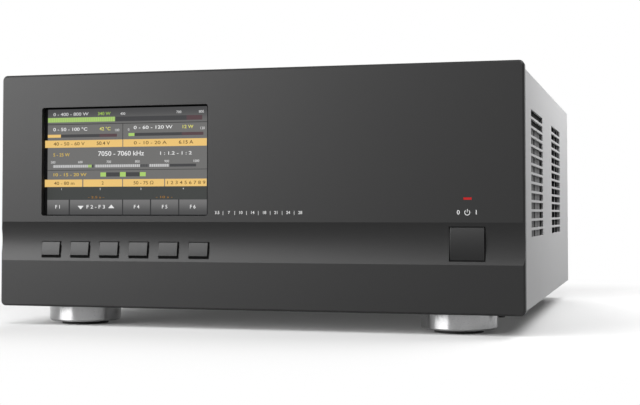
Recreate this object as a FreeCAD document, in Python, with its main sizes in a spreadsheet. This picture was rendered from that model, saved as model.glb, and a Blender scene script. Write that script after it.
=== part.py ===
# Desk-top linear amplifier for the short-wave bands, all sizes in millimetres.
# Frame: +X to the right, +Y to the back, +Z up, origin under the middle of the object at floor level.
import FreeCAD
import Part
import Sketcher
import os
import re

doc = FreeCAD.newDocument("Amplifier")

# ---------------------------------------------------------------- driving sizes
# Each group is one part of the object. Counts are whole numbers.
sizeGroups = {
    "case": {
        "panelWidth": 422,
        "panelHeight": 186.5,
        "panelThickness": 8,
        "panelCorner": 4,
        "panelChamfer": 1.5,
        "panelLift": 16,            # floor to the panel's lower edge
        "caseLift": 3.1,            # panel's lower edge to the case's underside
        "caseInset": 0.5,           # panel's end beyond the case's side
        "caseHeight": 177.8,
        "caseDepth": 442,           # panel's back to the outside of the rear panel
        "coverSheet": 1.5,
        "coverLip": 13,
        "traySheet": 2,
        "trayWall": 16,
        "tabWidth": 44,             # upturned tabs that hold the rear panel
        "tabInset": 58.5,           # case's side to the middle of a tab
        "tabScrewSpacing": 30,
        "rearSheet": 2.5,
        "subpanelSheet": 2,
        "seat": 0.2,                # gap round sheets that slide into each other
    },
    "channel": {
        "channelBottom": 36.7,      # above the panel's lower edge
        "channelHeight": 31.1,
        "channelDepth": 2.5,
    },
    "display": {
        "windowLeft": 35.9,         # from the panel's left edge
        "windowBottom": 72.6,
        "windowWidth": 142,
        "windowHeight": 87,
        "windowCorner": 2,
        "windowRecess": 4,
        "glassMargin": 4,
        "glassThickness": 2.5,
        "glassPlay": 0.3,
        "gasketStep": 1.2,
        "screenMargin": 0.6,
        "displayRim": 8,
        "displayDepth": 10,
        "controlBoardGap": 4,
        "controlBoardInset": 6,
        "chipWidth": 18,
        "chipHeight": 3,
    },
    "vents": {
        "ventBottom": 56.2,         # lowest slot, above the panel's lower edge
        "ventPitch": 7.16,
        "ventHeight": 5.3,
        "ventLength": 98,
        "frontVentStart": 53.5,     # behind the panel's front face
        "rearVentStart": 242,
        "ventRows": 14,
    },
    "menuButtons": {
        "buttonFirst": 44,          # from the panel's left edge to the first centre
        "buttonPitch": 25.17,
        "buttonCount": 6,
        "buttonWidth": 15.8,
        "buttonHeight": 10.8,
        "buttonBottom": 41,
        "buttonGap": 0.4,
        "buttonLowerGap": 1,
        "buttonSet": 0.1,           # lower edge behind the panel's front face
        "buttonTilt": 1.8,          # upper edge behind the lower edge
        "buttonCrown": 60,
        "buttonEdge": 0.4,
        "buttonTravel": 0.8,
        "buttonPlay": 0.3,
        "flangeRim": 2,
        "flangeThickness": 1.2,
        "stemRadius": 1.75,
        "stemReach": 3,
        "switchWidth": 7,
        "switchDepth": 5,
        "slideFit": 0.08,           # stem to bore, on the radius
        "switchStripEnd": 10,
        "switchStripHeight": 14,
    },
    "powerButton": {
        "powerInset": 42.4,         # from the panel's right edge to the centre
        "powerBottom": 39.75,
        "powerWidth": 25.6,
        "powerHeight": 24.4,
        "powerGap": 0.7,
        "powerSet": 1.6,            # upper and lower edges behind the panel's front face
        "powerCrown": 52,
        "powerTravel": 2,
        "powerStemRadius": 3,
        "powerStemReach": 10,
        "powerSwitchWidth": 20,
        "powerSwitchDepth": 26,
        "lightInset": 41.9,
        "lightBottom": 84.5,
        "lightWidth": 6.2,
        "lightHeight": 1.8,
        "lightFit": 0.1,
        "lightSet": 0.3,
        "lightFlange": 2.5,
        "lightFlangeThickness": 1.5,
        "lightTail": 6,
    },
    "screws": {
        "panelScrewRadius": 1.5,
        "panelScrewBite": 4,
        "panelScrewInset": 12,
        "panelScrewRise": 16,
        "screwFit": 0.05,
        "screwHole": 0.25,
        "boreEnd": 1,               # free depth behind a screw, stem or plug
        "screwHeadRadius": 3.2,
        "screwHeadHeight": 2,
        "coverScrewInset": 6.5,
        "coverScrewStart": 30,
        "coverScrewsPerSide": 4,
        "coverScrewBite": 5,
    },
    "feet": {
        "footRadius": 29,
        "footInset": 54.5,          # case's side to the foot's centre
        "footSet": 42.5,            # front foot centre behind the panel's front face
        "rearFootSet": 42.5,        # rear foot centre in front of the rear panel
        "footGap": 2.9,             # floor to the metal
        "footEdge": 1.2,
        "padRadius": 18.9,
        "padFit": 0.2,
        "padDepth": 5,
        "footBoreRadius": 2.8,
        "footSinkRadius": 5.2,
        "footSinkDepth": 4,
        "footScrewRadius": 2.5,
        "footScrewHead": 4.6,
        "footScrewHeadHeight": 3,
        "footScrewBite": 6,
    },
    "fans": {
        "fanSize": 80,
        "fanDepth": 25,
        "fanSpacing": 86,
        "fanHeight": 52,            # fan axis above the tray
        "fanBore": 38.2,
        "fanScrewSpacing": 71.5,
        "fanHubRadius": 17,
        "fanArmWidth": 5,
        "fanArmDepth": 3,
        "fanArmRoot": 1,
        "fanBearing": 4,
        "fanBearingLength": 12,
        "fanShaft": 1.5,
        "fanShaftFit": 0.06,
        "rotorGap": 1,
        "rotorRadius": 18,
        "rotorDepth": 18,
        "rotorSkin": 2,
        "bladeCount": 7,
        "bladeTip": 36.5,
        "bladeHalfRise": 7,
        "bladeHalfDepth": 7.5,
        "bladeThickness": 1.8,
        "guardWire": 0.9,
        "guardRing": 9,
        "guardRings": 4,
        "guardSpoke": 0.8,
        "fanScrewRadius": 1.9,
    },
    "heatsink": {
        "sinkWidth": 164,
        "sinkLength": 200,
        "sinkBase": 12,
        "sinkTop": 104,             # above the tray
        "finHeight": 80,
        "finThickness": 2,
        "finCount": 20,
        "legThickness": 5,
        "sinkGap": 3,
        "spreaderWidth": 110,
        "spreaderLength": 150,
        "spreaderThickness": 8,
        "boardSheet": 1.6,
        "rfBoardWidth": 140,
        "rfBoardLength": 180,
        "transistorWidth": 34,
        "transistorLength": 12,
        "transistorHeight": 5,
        "transistorSpacing": 50,
        "ferriteWidth": 46,
        "ferriteLength": 28,
        "ferriteHeight": 26,
        "ferriteBore": 6,
    },
    "filter": {
        "filterClear": 11,          # board to heatsink
        "filterLength": 190,
        "filterInset": 12,
        "filterBackGap": 26,
        "spacerHeight": 8,
        "spacerRadius": 3,
        "spacerInset": 7,
        "coilCount": 6,
        "coilPitch": 29,
        "coilRadius": 9,
        "coilWire": 4,
        "coilRow": 24,
        "relayCount": 6,
        "relayWidth": 14,
        "relayLength": 22,
        "relayHeight": 16,
        "relayInset": 26,           # from the board's inner edge
        "capCount": 6,
        "capRadius": 5,
        "capHeight": 12,
        "capShift": 1,              # from midway between coils and relays
    },
    "supply": {
        "supplySide": 19,           # case's inner side to the supply
        "supplyWidth": 196,
        "supplyStart": 62,          # behind the panel's front face
        "supplyLength": 100,
        "supplyHeight": 74,
        "supplySheet": 1.2,
        "supplyVentLength": 64,
        "supplyVentHeight": 3,
        "supplyVentPitch": 8,
        "supplyVentRows": 6,
        "supplyVentBottom": 20,
        "supplyBoardInset": 3,
        "coreWidth": 46,
        "coreLength": 40,
        "coreHeight": 38,
        "windingRadius": 16,
        "windingOverhang": 3,
        "supplyGap": 6,
        "bulkRadius": 15,
        "bulkHeight": 48,
        "bulkPitch": 34,
        "bulkCount": 3,
        "supplySinkLength": 70,
        "supplySinkHeight": 45,
        "supplySinkThickness": 5,
        "supplySinkFin": 7,
        "supplySinkFins": 6,
    },
    "bulkhead": {
        "bulkheadSet": 170,         # behind the panel's front face
        "bulkheadSheet": 1.5,
        "bulkheadHeight": 140,
        "bulkheadGap": 2.2,
        "bulkheadFoot": 12,
        "bulkheadWindow": 60,
    },
    "rear": {
        "socketReach": 18,          # the coaxial sockets, the rearmost pieces
        "socketFlange": 25.4,
        "socketFlangeThickness": 2.2,
        "socketRadius": 7.9,
        "socketBore": 6.2,
        "socketBoreDepth": 10,
        "socketContact": 2.6,
        "socketContactBore": 2,
        "socketContactSet": 1,
        "socketTail": 22,
        "socketTailRadius": 7,
        "socketInset": 59,          # these insets start at the case's inner side
        "socketSpacing": 56,
        "socketZ": 132,
        "phonoInset": 39,
        "phonoSpacing": 18,
        "phonoZ": 34,
        "phonoCount": 3,
        "phonoRadius": 4.15,
        "phonoBore": 3.3,
        "phonoReach": 8,
        "phonoPlate": 1.5,
        "phonoTail": 10,
        "phonoNeck": 3.6,
        "phonoDepth": 14,
        "groundShift": 4,           # outwards from midway between the fan's frame and the phono plate
        "groundZ": 20,
        "groundRadius": 3,
        "groundReach": 16.5,
        "groundNut": 5.5,
        "groundNutHeight": 4,
        "groundTail": 8,
        "wingBoss": 5.5,
        "wingBossLength": 6,
        "wingSpan": 26,
        "wingHeight": 9,
        "wingThickness": 2.4,
        "threadFit": 0.06,
        "inletInset": 57,
        "inletZ": 42,
        "inletWidth": 32,
        "inletHeight": 24,
        "inletCavityWidth": 28,
        "inletCavityHeight": 20,
        "inletCavityDepth": 17,
        "inletDepth": 22,
        "inletFlangeWidth": 50,
        "inletFlangeHeight": 29,
        "inletFlange": 3,
        "bladeWidth": 4,
        "bladeSheet": 2,
        "bladeLength": 14,
        "bladeSpread": 7,
        "bladeDrop": 2,
        "tabLength": 8,
        "fuseInset": 57,
        "fuseSpacing": 36,
        "fuseZ": 92,
        "fuseRadius": 5,
        "fuseFit": 0.08,
        "fuseTube": 7,
        "fuseTubeLength": 34,
        "fuseCollar": 9.5,
        "fuseCollarDepth": 3,
        "fusePlug": 20,
        "fuseKnob": 7.5,
        "fuseKnobLength": 10,
        "fuseGrip": 2.5,
        "portInset": 59,
        "serialZ": 92,
        "auxZ": 70,
        "serialWidth": 31,
        "auxWidth": 39,
        "portFlangeHeight": 12.6,
        "portFlange": 1,
        "portShellInset": 6,
        "portShellHeight": 8.4,
        "portReach": 6,
        "portTail": 9,
        "networkInset": 13,
        "networkZ": 81,
        "networkWidth": 16,
        "networkHeight": 13.4,
        "networkDepth": 21,
        "networkReach": 0.6,
        "networkCavityWidth": 11.8,
        "networkCavityHeight": 8,
        "networkCavityDepth": 12,
        "openingPlay": 0.4,
        "filterCanWidth": 60,
        "filterCanLength": 96,
        "filterCanHeight": 46,
        "filterCanBack": 60,
        "filterCanInset": 53,
    },
    "leads": {
        "coaxRadius": 2.5,
        "coaxExit": 4,              # straight stretch behind each coaxial socket
        "coaxBend": 16,
        "mainsLeadRadius": 1.6,
    },
}

# ---------------------------------------------------------------- places worked out from the sizes
placeFormulas = {
    "frontFace": "-(panelThickness + caseDepth + socketReach) / 2",
    "panelBack": "frontFace + panelThickness",
    "subpanelBack": "panelBack + subpanelSheet",
    "rearFace": "panelBack + caseDepth",
    "rearInside": "rearFace - rearSheet",
    "panelLeft": "-panelWidth / 2",
    "caseWidth": "panelWidth - 2 * caseInset",
    "panelBottom": "panelLift * 1",
    "caseBottom": "panelBottom + caseLift",
    "caseTop": "caseBottom + caseHeight",
    "trayBottom": "caseBottom + coverSheet",
    "trayTop": "trayBottom + traySheet",
    "innerTop": "caseTop - coverSheet",
    "innerHalf": "caseWidth / 2 - coverSheet",
    "bayHalf": "innerHalf - seat",
    "tabX": "caseWidth / 2 - tabInset",
    "footSpread": "caseWidth / 2 - footInset",
    "socketX": "innerHalf - socketInset",
    "phonoX": "innerHalf - phonoInset",
    "groundX": "((fanSpacing + fanSize) / 2 + phonoX - (phonoCount - 0.5) * phonoSpacing) / 2 + groundShift",
    "inletX": "innerHalf - inletInset",
    "fuseX": "innerHalf - fuseInset",
    "portX": "innerHalf - portInset",
    "networkX": "innerHalf - networkInset",
    "filterCanX": "innerHalf - filterCanInset",
    "channelMiddle": "panelBottom + channelBottom + channelHeight / 2",
    "channelRadius": "(channelHeight ^ 2 / 4 + channelDepth ^ 2) / (2 * channelDepth)",
    "windowX": "panelLeft + windowLeft",
    "windowZ": "panelBottom + windowBottom",
    "glassFront": "frontFace + windowRecess",
    "glassBack": "glassFront + glassThickness",
    "displayBack": "subpanelBack + displayDepth",
    "firstButton": "panelLeft + buttonFirst",
    "buttonZ": "panelBottom + buttonBottom",
    "buttonMiddle": "buttonZ + buttonHeight / 2",
    "flangePocket": "flangeThickness + buttonTravel + 2 * buttonPlay",
    "powerPocket": "flangeThickness + powerTravel + 2 * buttonPlay",
    "powerX": "-panelLeft - powerInset",
    "powerZ": "panelBottom + powerBottom",
    "powerMiddle": "powerZ + powerHeight / 2",
    "lightX": "-panelLeft - lightInset",
    "lightZ": "panelBottom + lightBottom",
    "screwLeft": "panelLeft + panelScrewInset",
    "screwLow": "panelBottom + panelScrewRise",
    "screwHigh": "panelBottom + panelHeight - panelScrewRise",
    "frontFootY": "frontFace + footSet",
    "rearFootY": "rearFace - rearFootSet",
    "fanFront": "rearInside - fanDepth",
    "fanZ": "trayTop + fanHeight",
    "rotorFront": "fanFront + fanArmDepth + rotorGap",
    "sinkBack": "fanFront - sinkGap",
    "sinkFront": "sinkBack - sinkLength",
    "sinkTopZ": "trayTop + sinkTop",
    "spreaderTop": "sinkTopZ + spreaderThickness",
    "rfBoardTop": "spreaderTop + boardSheet",
    "rfMiddleY": "(sinkFront + sinkBack) / 2",
    "filterLeft": "-innerHalf + filterInset",
    "filterWidth": "innerHalf - filterInset - filterClear - sinkWidth / 2",
    "relayRow": "filterWidth - relayInset",
    "capRow": "(coilRow + relayRow) / 2 + capShift",
    "filterBack": "rearInside - filterBackGap",
    "filterFront": "filterBack - filterLength",
    "boardBottom": "trayTop + spacerHeight",
    "boardTop": "boardBottom + boardSheet",
    "supplyLeft": "innerHalf - supplySide - supplyWidth",
    "supplyFront": "frontFace + supplyStart",
    "supplyFloor": "trayTop + supplySheet",
    "supplyBoardBottom": "supplyFloor + spacerHeight",
    "supplyBoardTop": "supplyBoardBottom + boardSheet",
    "supplyBoardX": "supplyLeft + supplySheet + supplyBoardInset",
    "supplyBoardY": "supplyFront + supplySheet + supplyBoardInset",
    "bulkheadY": "frontFace + bulkheadSet",
}

sizes = doc.addObject("Spreadsheet::Sheet", "Sizes")
places = doc.addObject("Spreadsheet::Sheet", "Places")
sheetOfName = {}


def fillSizes():
    row = 1
    for group, values in sizeGroups.items():
        sizes.set(f"A{row}", group)
        row += 1
        for name, value in values.items():
            sizes.set(f"A{row}", name)
            sizes.set(f"B{row}", str(value))
            sizes.setAlias(f"B{row}", name)
            sheetOfName[name] = "Sizes"
            row += 1


def fillPlaces():
    for row, name in enumerate(placeFormulas, 1):
        sheetOfName[name] = "Places"
    for row, (name, text) in enumerate(placeFormulas.items(), 1):
        places.set(f"A{row}", name)
        places.set(f"B{row}", "=" + formula(text, "Places"))
        places.setAlias(f"B{row}", name)


def formula(text, home=""):
    """Put the sheet's name in front of each size or place that the text names."""
    def full(match):
        word = match.group(0)
        sheet = sheetOfName.get(word, home)
        return word if sheet == home or word not in sheetOfName else f"{sheet}.{word}"
    return re.sub(r"[A-Za-z][A-Za-z0-9]*", full, str(text))


def sizeOf(name):
    sheet = sizes if sheetOfName[name] == "Sizes" else places
    return sheet.get(name)


def bind(item, **properties):
    for name, text in properties.items():
        item.setExpression(name, formula(text))


def placeAt(item, x, y, z):
    for axis, text in zip("xyz", (x, y, z)):
        item.setExpression(f"Placement.Base.{axis}", formula(text))


fillSizes()
fillPlaces()
doc.recompute()
nodes = []


def node(label, item):
    item.Label = label
    nodes.append(item)
    return item


# ---------------------------------------------------------------- bodies, sketches and features
def newBody(label):
    return node(label, doc.addObject("PartDesign::Body", label))


def originOf(body, role):
    return [feature for feature in body.Origin.OriginFeatures if feature.Role == role][0]


def sketchOn(body, plane, offset="0"):
    """A sketch on the body's XY, XZ or YZ plane, moved to the given Z, Y or X."""
    sketch = body.newObject("Sketcher::SketchObject", "outline")
    sketch.AttachmentSupport = (originOf(body, plane + "_Plane"), [""])
    sketch.MapMode = "FlatFace"
    sign = "-" if plane == "XZ" else ""
    sketch.setExpression("AttachmentOffset.Base.z", formula(f"{sign}({offset})"))
    return sketch


def evaluate(text):
    """The value of a formula now, for the first drawing of a sketch."""
    return float(sizes.evalExpression(formula(text)))


def hold(sketch, kind, text, *geometry):
    """A distance or radius of the sketch, bound to a formula."""
    constraint = sketch.addConstraint(Sketcher.Constraint(kind, *geometry, evaluate(text)))
    sketch.setExpression(f"Constraints[{constraint}]", formula(text))


def crownArc(start, end, radius):
    """An arc from start to end that bulges to the left of the way between them."""
    chord = end - start
    side = FreeCAD.Vector(-chord.y, chord.x, 0).normalize()
    rise = radius - (radius ** 2 - chord.Length ** 2 / 4) ** 0.5
    middle = (start + end) / 2 + side * rise
    return Part.Arc(start, middle, end)


def outline(sketch, points, crown=None):
    """A closed outline whose corners are held by their distances. The first side may be a crowned arc."""
    first = sketch.GeometryCount
    count = len(points)
    spots = [FreeCAD.Vector(evaluate(x), evaluate(y), 0) for x, y in points]
    for index, start in enumerate(spots):
        end = spots[(index + 1) % count]
        side = Part.LineSegment(start, end)
        if crown and index == 0:
            side = crownArc(start, end, evaluate(crown))
        sketch.addGeometry(side, False)
    for index, (x, y) in enumerate(points):
        arc = crown and index == 0
        beforeArc = crown and index == count - 1
        following = first + (index + 1) % count
        sketch.addConstraint(Sketcher.Constraint(
            "Coincident", first + index, 1 if arc else 2, following, 2 if beforeArc else 1))
        hold(sketch, "DistanceX", x, -1, 1, first + index, 2 if arc else 1)
        hold(sketch, "DistanceY", y, -1, 1, first + index, 2 if arc else 1)
    if crown:
        hold(sketch, "Radius", crown, first)


def rectangle(sketch, x, y, width, height):
    right = f"{x} + {width}"
    top = f"{y} + {height}"
    outline(sketch, [(x, y), (right, y), (right, top), (x, top)])


def centredRectangle(sketch, x, y, width, height):
    rectangle(sketch, f"{x} - ({width}) / 2", f"{y} - ({height}) / 2", width, height)


def circle(sketch, x, y, radius):
    centre = FreeCAD.Vector(evaluate(x), evaluate(y), 0)
    index = sketch.addGeometry(Part.Circle(centre, FreeCAD.Vector(0, 0, 1), evaluate(radius)), False)
    hold(sketch, "DistanceX", x, -1, 1, index, 3)
    hold(sketch, "DistanceY", y, -1, 1, index, 3)
    hold(sketch, "Radius", radius, index)


def backwards(sketch):
    """True if the sketch's normal points against its axis, as on an XZ plane."""
    return sketch.AttachmentSupport[0][0].Role == "XZ_Plane"


def pad(body, sketch, length):
    """Pad the sketch towards +X, +Y or +Z."""
    feature = body.newObject("PartDesign::Pad", "pad")
    feature.Profile = sketch
    feature.Reversed = backwards(sketch)
    bind(feature, Length=length)
    return feature


def padBothWays(body, sketch, length):
    feature = pad(body, sketch, length)
    feature.SideType = "Symmetric"
    return feature


def pocket(body, sketch, depth, towardsPlus=True):
    """Cut the sketch's shape away, towards +X, +Y or +Z or the other way."""
    before = solidVolume(body)
    feature = body.newObject("PartDesign::Pocket", "pocket")
    feature.Profile = sketch
    feature.Reversed = towardsPlus != backwards(sketch)
    bind(feature, Length=depth)
    checkCut(body, before)
    return feature


def pocketThrough(body, sketch):
    before = solidVolume(body)
    feature = body.newObject("PartDesign::Pocket", "pocket")
    feature.Profile = sketch
    feature.Type = "ThroughAll"
    feature.SideType = "Symmetric"
    checkCut(body, before)
    return feature


def solidVolume(body):
    doc.recompute()
    return body.Shape.Volume


def checkCut(body, before):
    if solidVolume(body) >= before:
        raise RuntimeError(f"{body.Label}: a pocket cuts nothing")


def turn(body, sketch):
    """Turn the sketch a full circle about its own vertical axis."""
    feature = body.newObject("PartDesign::Revolution", "revolution")
    feature.Profile = sketch
    feature.ReferenceAxis = (sketch, ["V_Axis"])
    feature.Angle = 360
    return feature


def turnedBody(label, profile, along, x, y, z):
    """A body turned about an axis along Y or Z through a place. The profile holds radius and height pairs."""
    body = newBody(label)
    sketch = sketchOn(body, "XY" if along == "Y" else "XZ")
    outline(sketch, profile)
    turn(body, sketch)
    placeAt(body, x, y, z)
    return body


def linearCopies(body, feature, axis, spacing, count):
    pattern = body.newObject("PartDesign::LinearPattern", "pattern")
    pattern.Originals = [feature]
    pattern.Direction = (originOf(body, axis + "_Axis"), [""])
    pattern.Mode = "Spacing"
    bind(pattern, Offset=spacing, Occurrences=count)
    body.Tip = pattern
    return pattern


def roundEdges(body, kind, size, chosen):
    """A fillet or chamfer on the edges of the body that the test picks."""
    doc.recompute()
    base = body.Tip
    names = [f"Edge{index}" for index, edge in enumerate(base.Shape.Edges, 1) if chosen(edge)]
    feature = body.newObject(f"PartDesign::{kind}", kind.lower())
    feature.Base = (base, names)
    if kind == "Fillet":
        bind(feature, Radius=size)
    else:
        bind(feature, Size=size)
    return feature


def runsAlong(edge, axis):
    box = edge.BoundBox
    lengths = {"x": box.XLength, "y": box.YLength, "z": box.ZLength}
    return lengths[axis] > 0.999 * edge.Length


def liesAtY(edge, y):
    return abs(edge.BoundBox.YMin - y) < 1e-4 and edge.BoundBox.YLength < 1e-4


# ---------------------------------------------------------------- primitives and joins
def box(name, x, y, z, width, length, height):
    item = doc.addObject("Part::Box", name)
    bind(item, Length=width, Width=length, Height=height)
    placeAt(item, x, y, z)
    return item


def centredBox(name, x, y, z, width, length, height):
    return box(name, f"{x} - ({width}) / 2", f"{y} - ({length}) / 2", z, width, length, height)


def centredBoxOnWall(name, x, y, z, width, depth, height):
    """A box centred about X and Z that grows back from a wall at Y."""
    return box(name, f"{x} - ({width}) / 2", y, f"{z} - ({height}) / 2", width, depth, height)


def rod(name, x, y, z, radius, length, along="z"):
    item = doc.addObject("Part::Cylinder", name)
    bind(item, Radius=radius, Height=length)
    if along == "y":
        item.Placement.Rotation = FreeCAD.Rotation(FreeCAD.Vector(1, 0, 0), -90)
    if along == "x":
        item.Placement.Rotation = FreeCAD.Rotation(FreeCAD.Vector(0, 1, 0), 90)
    placeAt(item, x, y, z)
    return item


def hoop(name, x, y, z, radius, wire, along="z"):
    item = doc.addObject("Part::Torus", name)
    bind(item, Radius1=radius, Radius2=wire)
    if along == "y":
        item.Placement.Rotation = FreeCAD.Rotation(FreeCAD.Vector(1, 0, 0), -90)
    if along == "x":
        item.Placement.Rotation = FreeCAD.Rotation(FreeCAD.Vector(0, 1, 0), 90)
    placeAt(item, x, y, z)
    return item


def fuse(name, pieces):
    item = doc.addObject("Part::MultiFuse", name)
    item.Shapes = pieces
    item.Refine = True
    return item


def cut(name, base, tools):
    item = doc.addObject("Part::Cut", name)
    item.Base = base
    item.Tool = tools[0] if len(tools) == 1 else fuse(name + "Tools", tools)
    item.Refine = True
    return item


def group(name, pieces):
    """Separate solids that share one node."""
    item = doc.addObject("Part::Compound", name)
    item.Links = pieces
    return item


def screw(name, x, y, z, radius, length, headRadius, headHeight, towards):
    """A pan-head screw. Its shank starts at the place and runs towards +Y, -Y or +Z, its head behind it."""
    if towards == "z":
        shank = rod(name + "Shank", x, y, z, radius, length)
        head = rod(name + "Head", x, y, f"{z} - ({headHeight})", headRadius, headHeight)
    elif towards == "-y":
        shank = rod(name + "Shank", x, f"{y} - ({length})", z, radius, length, "y")
        head = rod(name + "Head", x, y, z, headRadius, headHeight, "y")
    return fuse(name, [shank, head])


# ---------------------------------------------------------------- front panel and display
def buttonX(index):
    return f"firstButton + {index} * buttonPitch"


def makeFrontPanel():
    body = newBody("front_panel")
    plate = sketchOn(body, "XZ", "frontFace")
    rectangle(plate, "panelLeft", "panelBottom", "panelWidth", "panelHeight")
    pad(body, plate, "panelThickness")
    roundEdges(body, "Fillet", "panelCorner", lambda edge: runsAlong(edge, "y"))
    front = evaluate("frontFace")
    roundEdges(body, "Chamfer", "panelChamfer", lambda edge: liesAtY(edge, front))

    groove = sketchOn(body, "YZ")
    circle(groove, "frontFace + channelDepth - channelRadius", "channelMiddle", "channelRadius")
    pocketThrough(body, groove)

    window = sketchOn(body, "XZ", "frontFace")
    rectangle(window, "windowX", "windowZ", "windowWidth", "windowHeight")
    pocket(body, window, "panelThickness")
    windowRight = evaluate("windowX + windowWidth")
    windowLeft = evaluate("windowX")
    roundEdges(body, "Fillet", "windowCorner", lambda edge: runsAlong(edge, "y") and (
        abs(edge.BoundBox.XMin - windowRight) < 1e-4 or abs(edge.BoundBox.XMin - windowLeft) < 1e-4))

    openings = sketchOn(body, "XZ", "frontFace")
    for index in range(int(sizeOf("buttonCount"))):
        rectangle(openings, f"{buttonX(index)} - buttonWidth / 2 - buttonGap", "buttonZ - buttonLowerGap",
                  "buttonWidth + 2 * buttonGap", "buttonHeight + buttonGap + buttonLowerGap")
    rectangle(openings, "powerX - powerWidth / 2 - powerGap", "powerZ - powerGap",
              "powerWidth + 2 * powerGap", "powerHeight + 2 * powerGap")
    rectangle(openings, "lightX - lightWidth / 2", "lightZ", "lightWidth", "lightHeight")
    pocket(body, openings, "panelThickness")

    rebate = sketchOn(body, "XZ", "panelBack")
    rectangle(rebate, "windowX - glassMargin - glassPlay", "windowZ - glassMargin - glassPlay",
              "windowWidth + 2 * (glassMargin + glassPlay)", "windowHeight + 2 * (glassMargin + glassPlay)")
    pocket(body, rebate, "panelThickness - windowRecess", towardsPlus=False)

    flanges = sketchOn(body, "XZ", "panelBack")
    rectangle(flanges, "firstButton - buttonWidth / 2 - flangeRim - buttonPlay",
              "buttonZ - flangeRim - buttonPlay",
              "(buttonCount - 1) * buttonPitch + buttonWidth + 2 * (flangeRim + buttonPlay)",
              "buttonHeight + 2 * (flangeRim + buttonPlay)")
    pocket(body, flanges, "flangePocket", towardsPlus=False)
    powerRecess = sketchOn(body, "XZ", "panelBack")
    centredRectangle(powerRecess, "powerX", "powerMiddle",
                     "(powerWidth + 2 * (flangeRim + buttonPlay))",
                     "(powerHeight + 2 * (flangeRim + buttonPlay))")
    pocket(body, powerRecess, "powerPocket", towardsPlus=False)

    threads = sketchOn(body, "XZ", "panelBack")
    for x, z in panelScrewPlaces():
        circle(threads, x, z, "panelScrewRadius + screwFit")
    pocket(body, threads, "panelScrewBite + boreEnd", towardsPlus=False)


def panelScrewPlaces():
    columns = ("screwLeft", "windowX + windowWidth + panelScrewInset", "-screwLeft")
    return [(x, z) for x in columns for z in ("screwLow", "screwHigh")]


def tabScrewPlaces():
    return [(f"{side} * tabX + {end} * tabScrewSpacing / 2", "trayTop + trayWall / 2")
            for side in (-1, 1) for end in (-1, 1)]


def makeDisplay():
    glass = newBody("display_window")
    pane = sketchOn(glass, "XZ", "glassFront")
    rectangle(pane, "windowX - glassMargin", "windowZ - glassMargin",
              "windowWidth + 2 * glassMargin", "windowHeight + 2 * glassMargin")
    pad(glass, pane, "glassThickness")

    gasket = newBody("display_gasket")
    frame = sketchOn(gasket, "XZ", "glassBack")
    rectangle(frame, "windowX - glassMargin", "windowZ - glassMargin",
              "windowWidth + 2 * glassMargin", "windowHeight + 2 * glassMargin")
    rectangle(frame, "windowX - gasketStep", "windowZ - gasketStep",
              "windowWidth + 2 * gasketStep", "windowHeight + 2 * gasketStep")
    pad(gasket, frame, "panelBack - glassBack")

    module = newBody("display_module")
    screen = sketchOn(module, "XZ", "glassBack + glassPlay")
    rectangle(screen, "windowX - screenMargin", "windowZ - screenMargin",
              "windowWidth + 2 * screenMargin", "windowHeight + 2 * screenMargin")
    pad(module, screen, "displayBack - glassBack - glassPlay")
    can = sketchOn(module, "XZ", "subpanelBack")
    rectangle(can, "windowX - displayRim", "windowZ - displayRim",
              "windowWidth + 2 * displayRim", "windowHeight + 2 * displayRim")
    pad(module, can, "displayDepth")

    board = newBody("control_board")
    sheet = sketchOn(board, "XZ", "displayBack + controlBoardGap")
    rectangle(sheet, "windowX + controlBoardInset", "windowZ + controlBoardInset",
              "windowWidth - 2 * controlBoardInset", "windowHeight - 2 * controlBoardInset")
    pad(board, sheet, "boardSheet")
    posts = sketchOn(board, "XZ", "displayBack")
    for x in ("windowX + controlBoardInset + spacerInset",
              "windowX + windowWidth - controlBoardInset - spacerInset"):
        for z in ("windowZ + controlBoardInset + spacerInset",
                  "windowZ + windowHeight - controlBoardInset - spacerInset"):
            circle(posts, x, z, "spacerRadius")
    pad(board, posts, "controlBoardGap")
    chips = sketchOn(board, "XZ", "displayBack + controlBoardGap + boardSheet")
    chipZ = "windowZ + windowHeight / 2"
    centredRectangle(chips, "windowX + windowWidth / 2", chipZ, "chipWidth", "chipWidth")
    centredRectangle(chips, "windowX + windowWidth / 4", chipZ, "chipWidth / 2", "chipWidth")
    pad(board, chips, "chipHeight")


def makeSubpanel():
    body = newBody("front_subpanel")
    plate = sketchOn(body, "XZ", "panelBack")
    rectangle(plate, "-bayHalf", "trayTop", "2 * bayHalf", "innerTop - seat - trayTop")
    rectangle(plate, "windowX - gasketStep", "windowZ - gasketStep",
              "windowWidth + 2 * gasketStep", "windowHeight + 2 * gasketStep")
    for index in range(int(sizeOf("buttonCount"))):
        circle(plate, buttonX(index), "buttonMiddle", "stemRadius + screwHole")
    circle(plate, "powerX", "powerMiddle", "powerStemRadius + screwHole")
    centredRectangle(plate, "lightX", "lightZ + lightHeight / 2", "lightWidth", "lightHeight")
    for x, z in panelScrewPlaces():
        circle(plate, x, z, "panelScrewRadius + screwHole")
    pad(body, plate, "subpanelSheet")
    screws = [
        screw(f"panelScrew{index}", x, "subpanelBack", z, "panelScrewRadius",
              "subpanelSheet + panelScrewBite", "screwHeadRadius", "screwHeadHeight", "-y")
        for index, (x, z) in enumerate(panelScrewPlaces(), 1)
    ] + [
        screw(f"tabScrew{index}", x, "rearFace", z, "panelScrewRadius",
              "rearSheet + traySheet + seat", "screwHeadRadius", "screwHeadHeight", "-y")
        for index, (x, z) in enumerate(tabScrewPlaces(), 1)
    ]
    node("panel_screws", group("panelScrews", screws))


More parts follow.
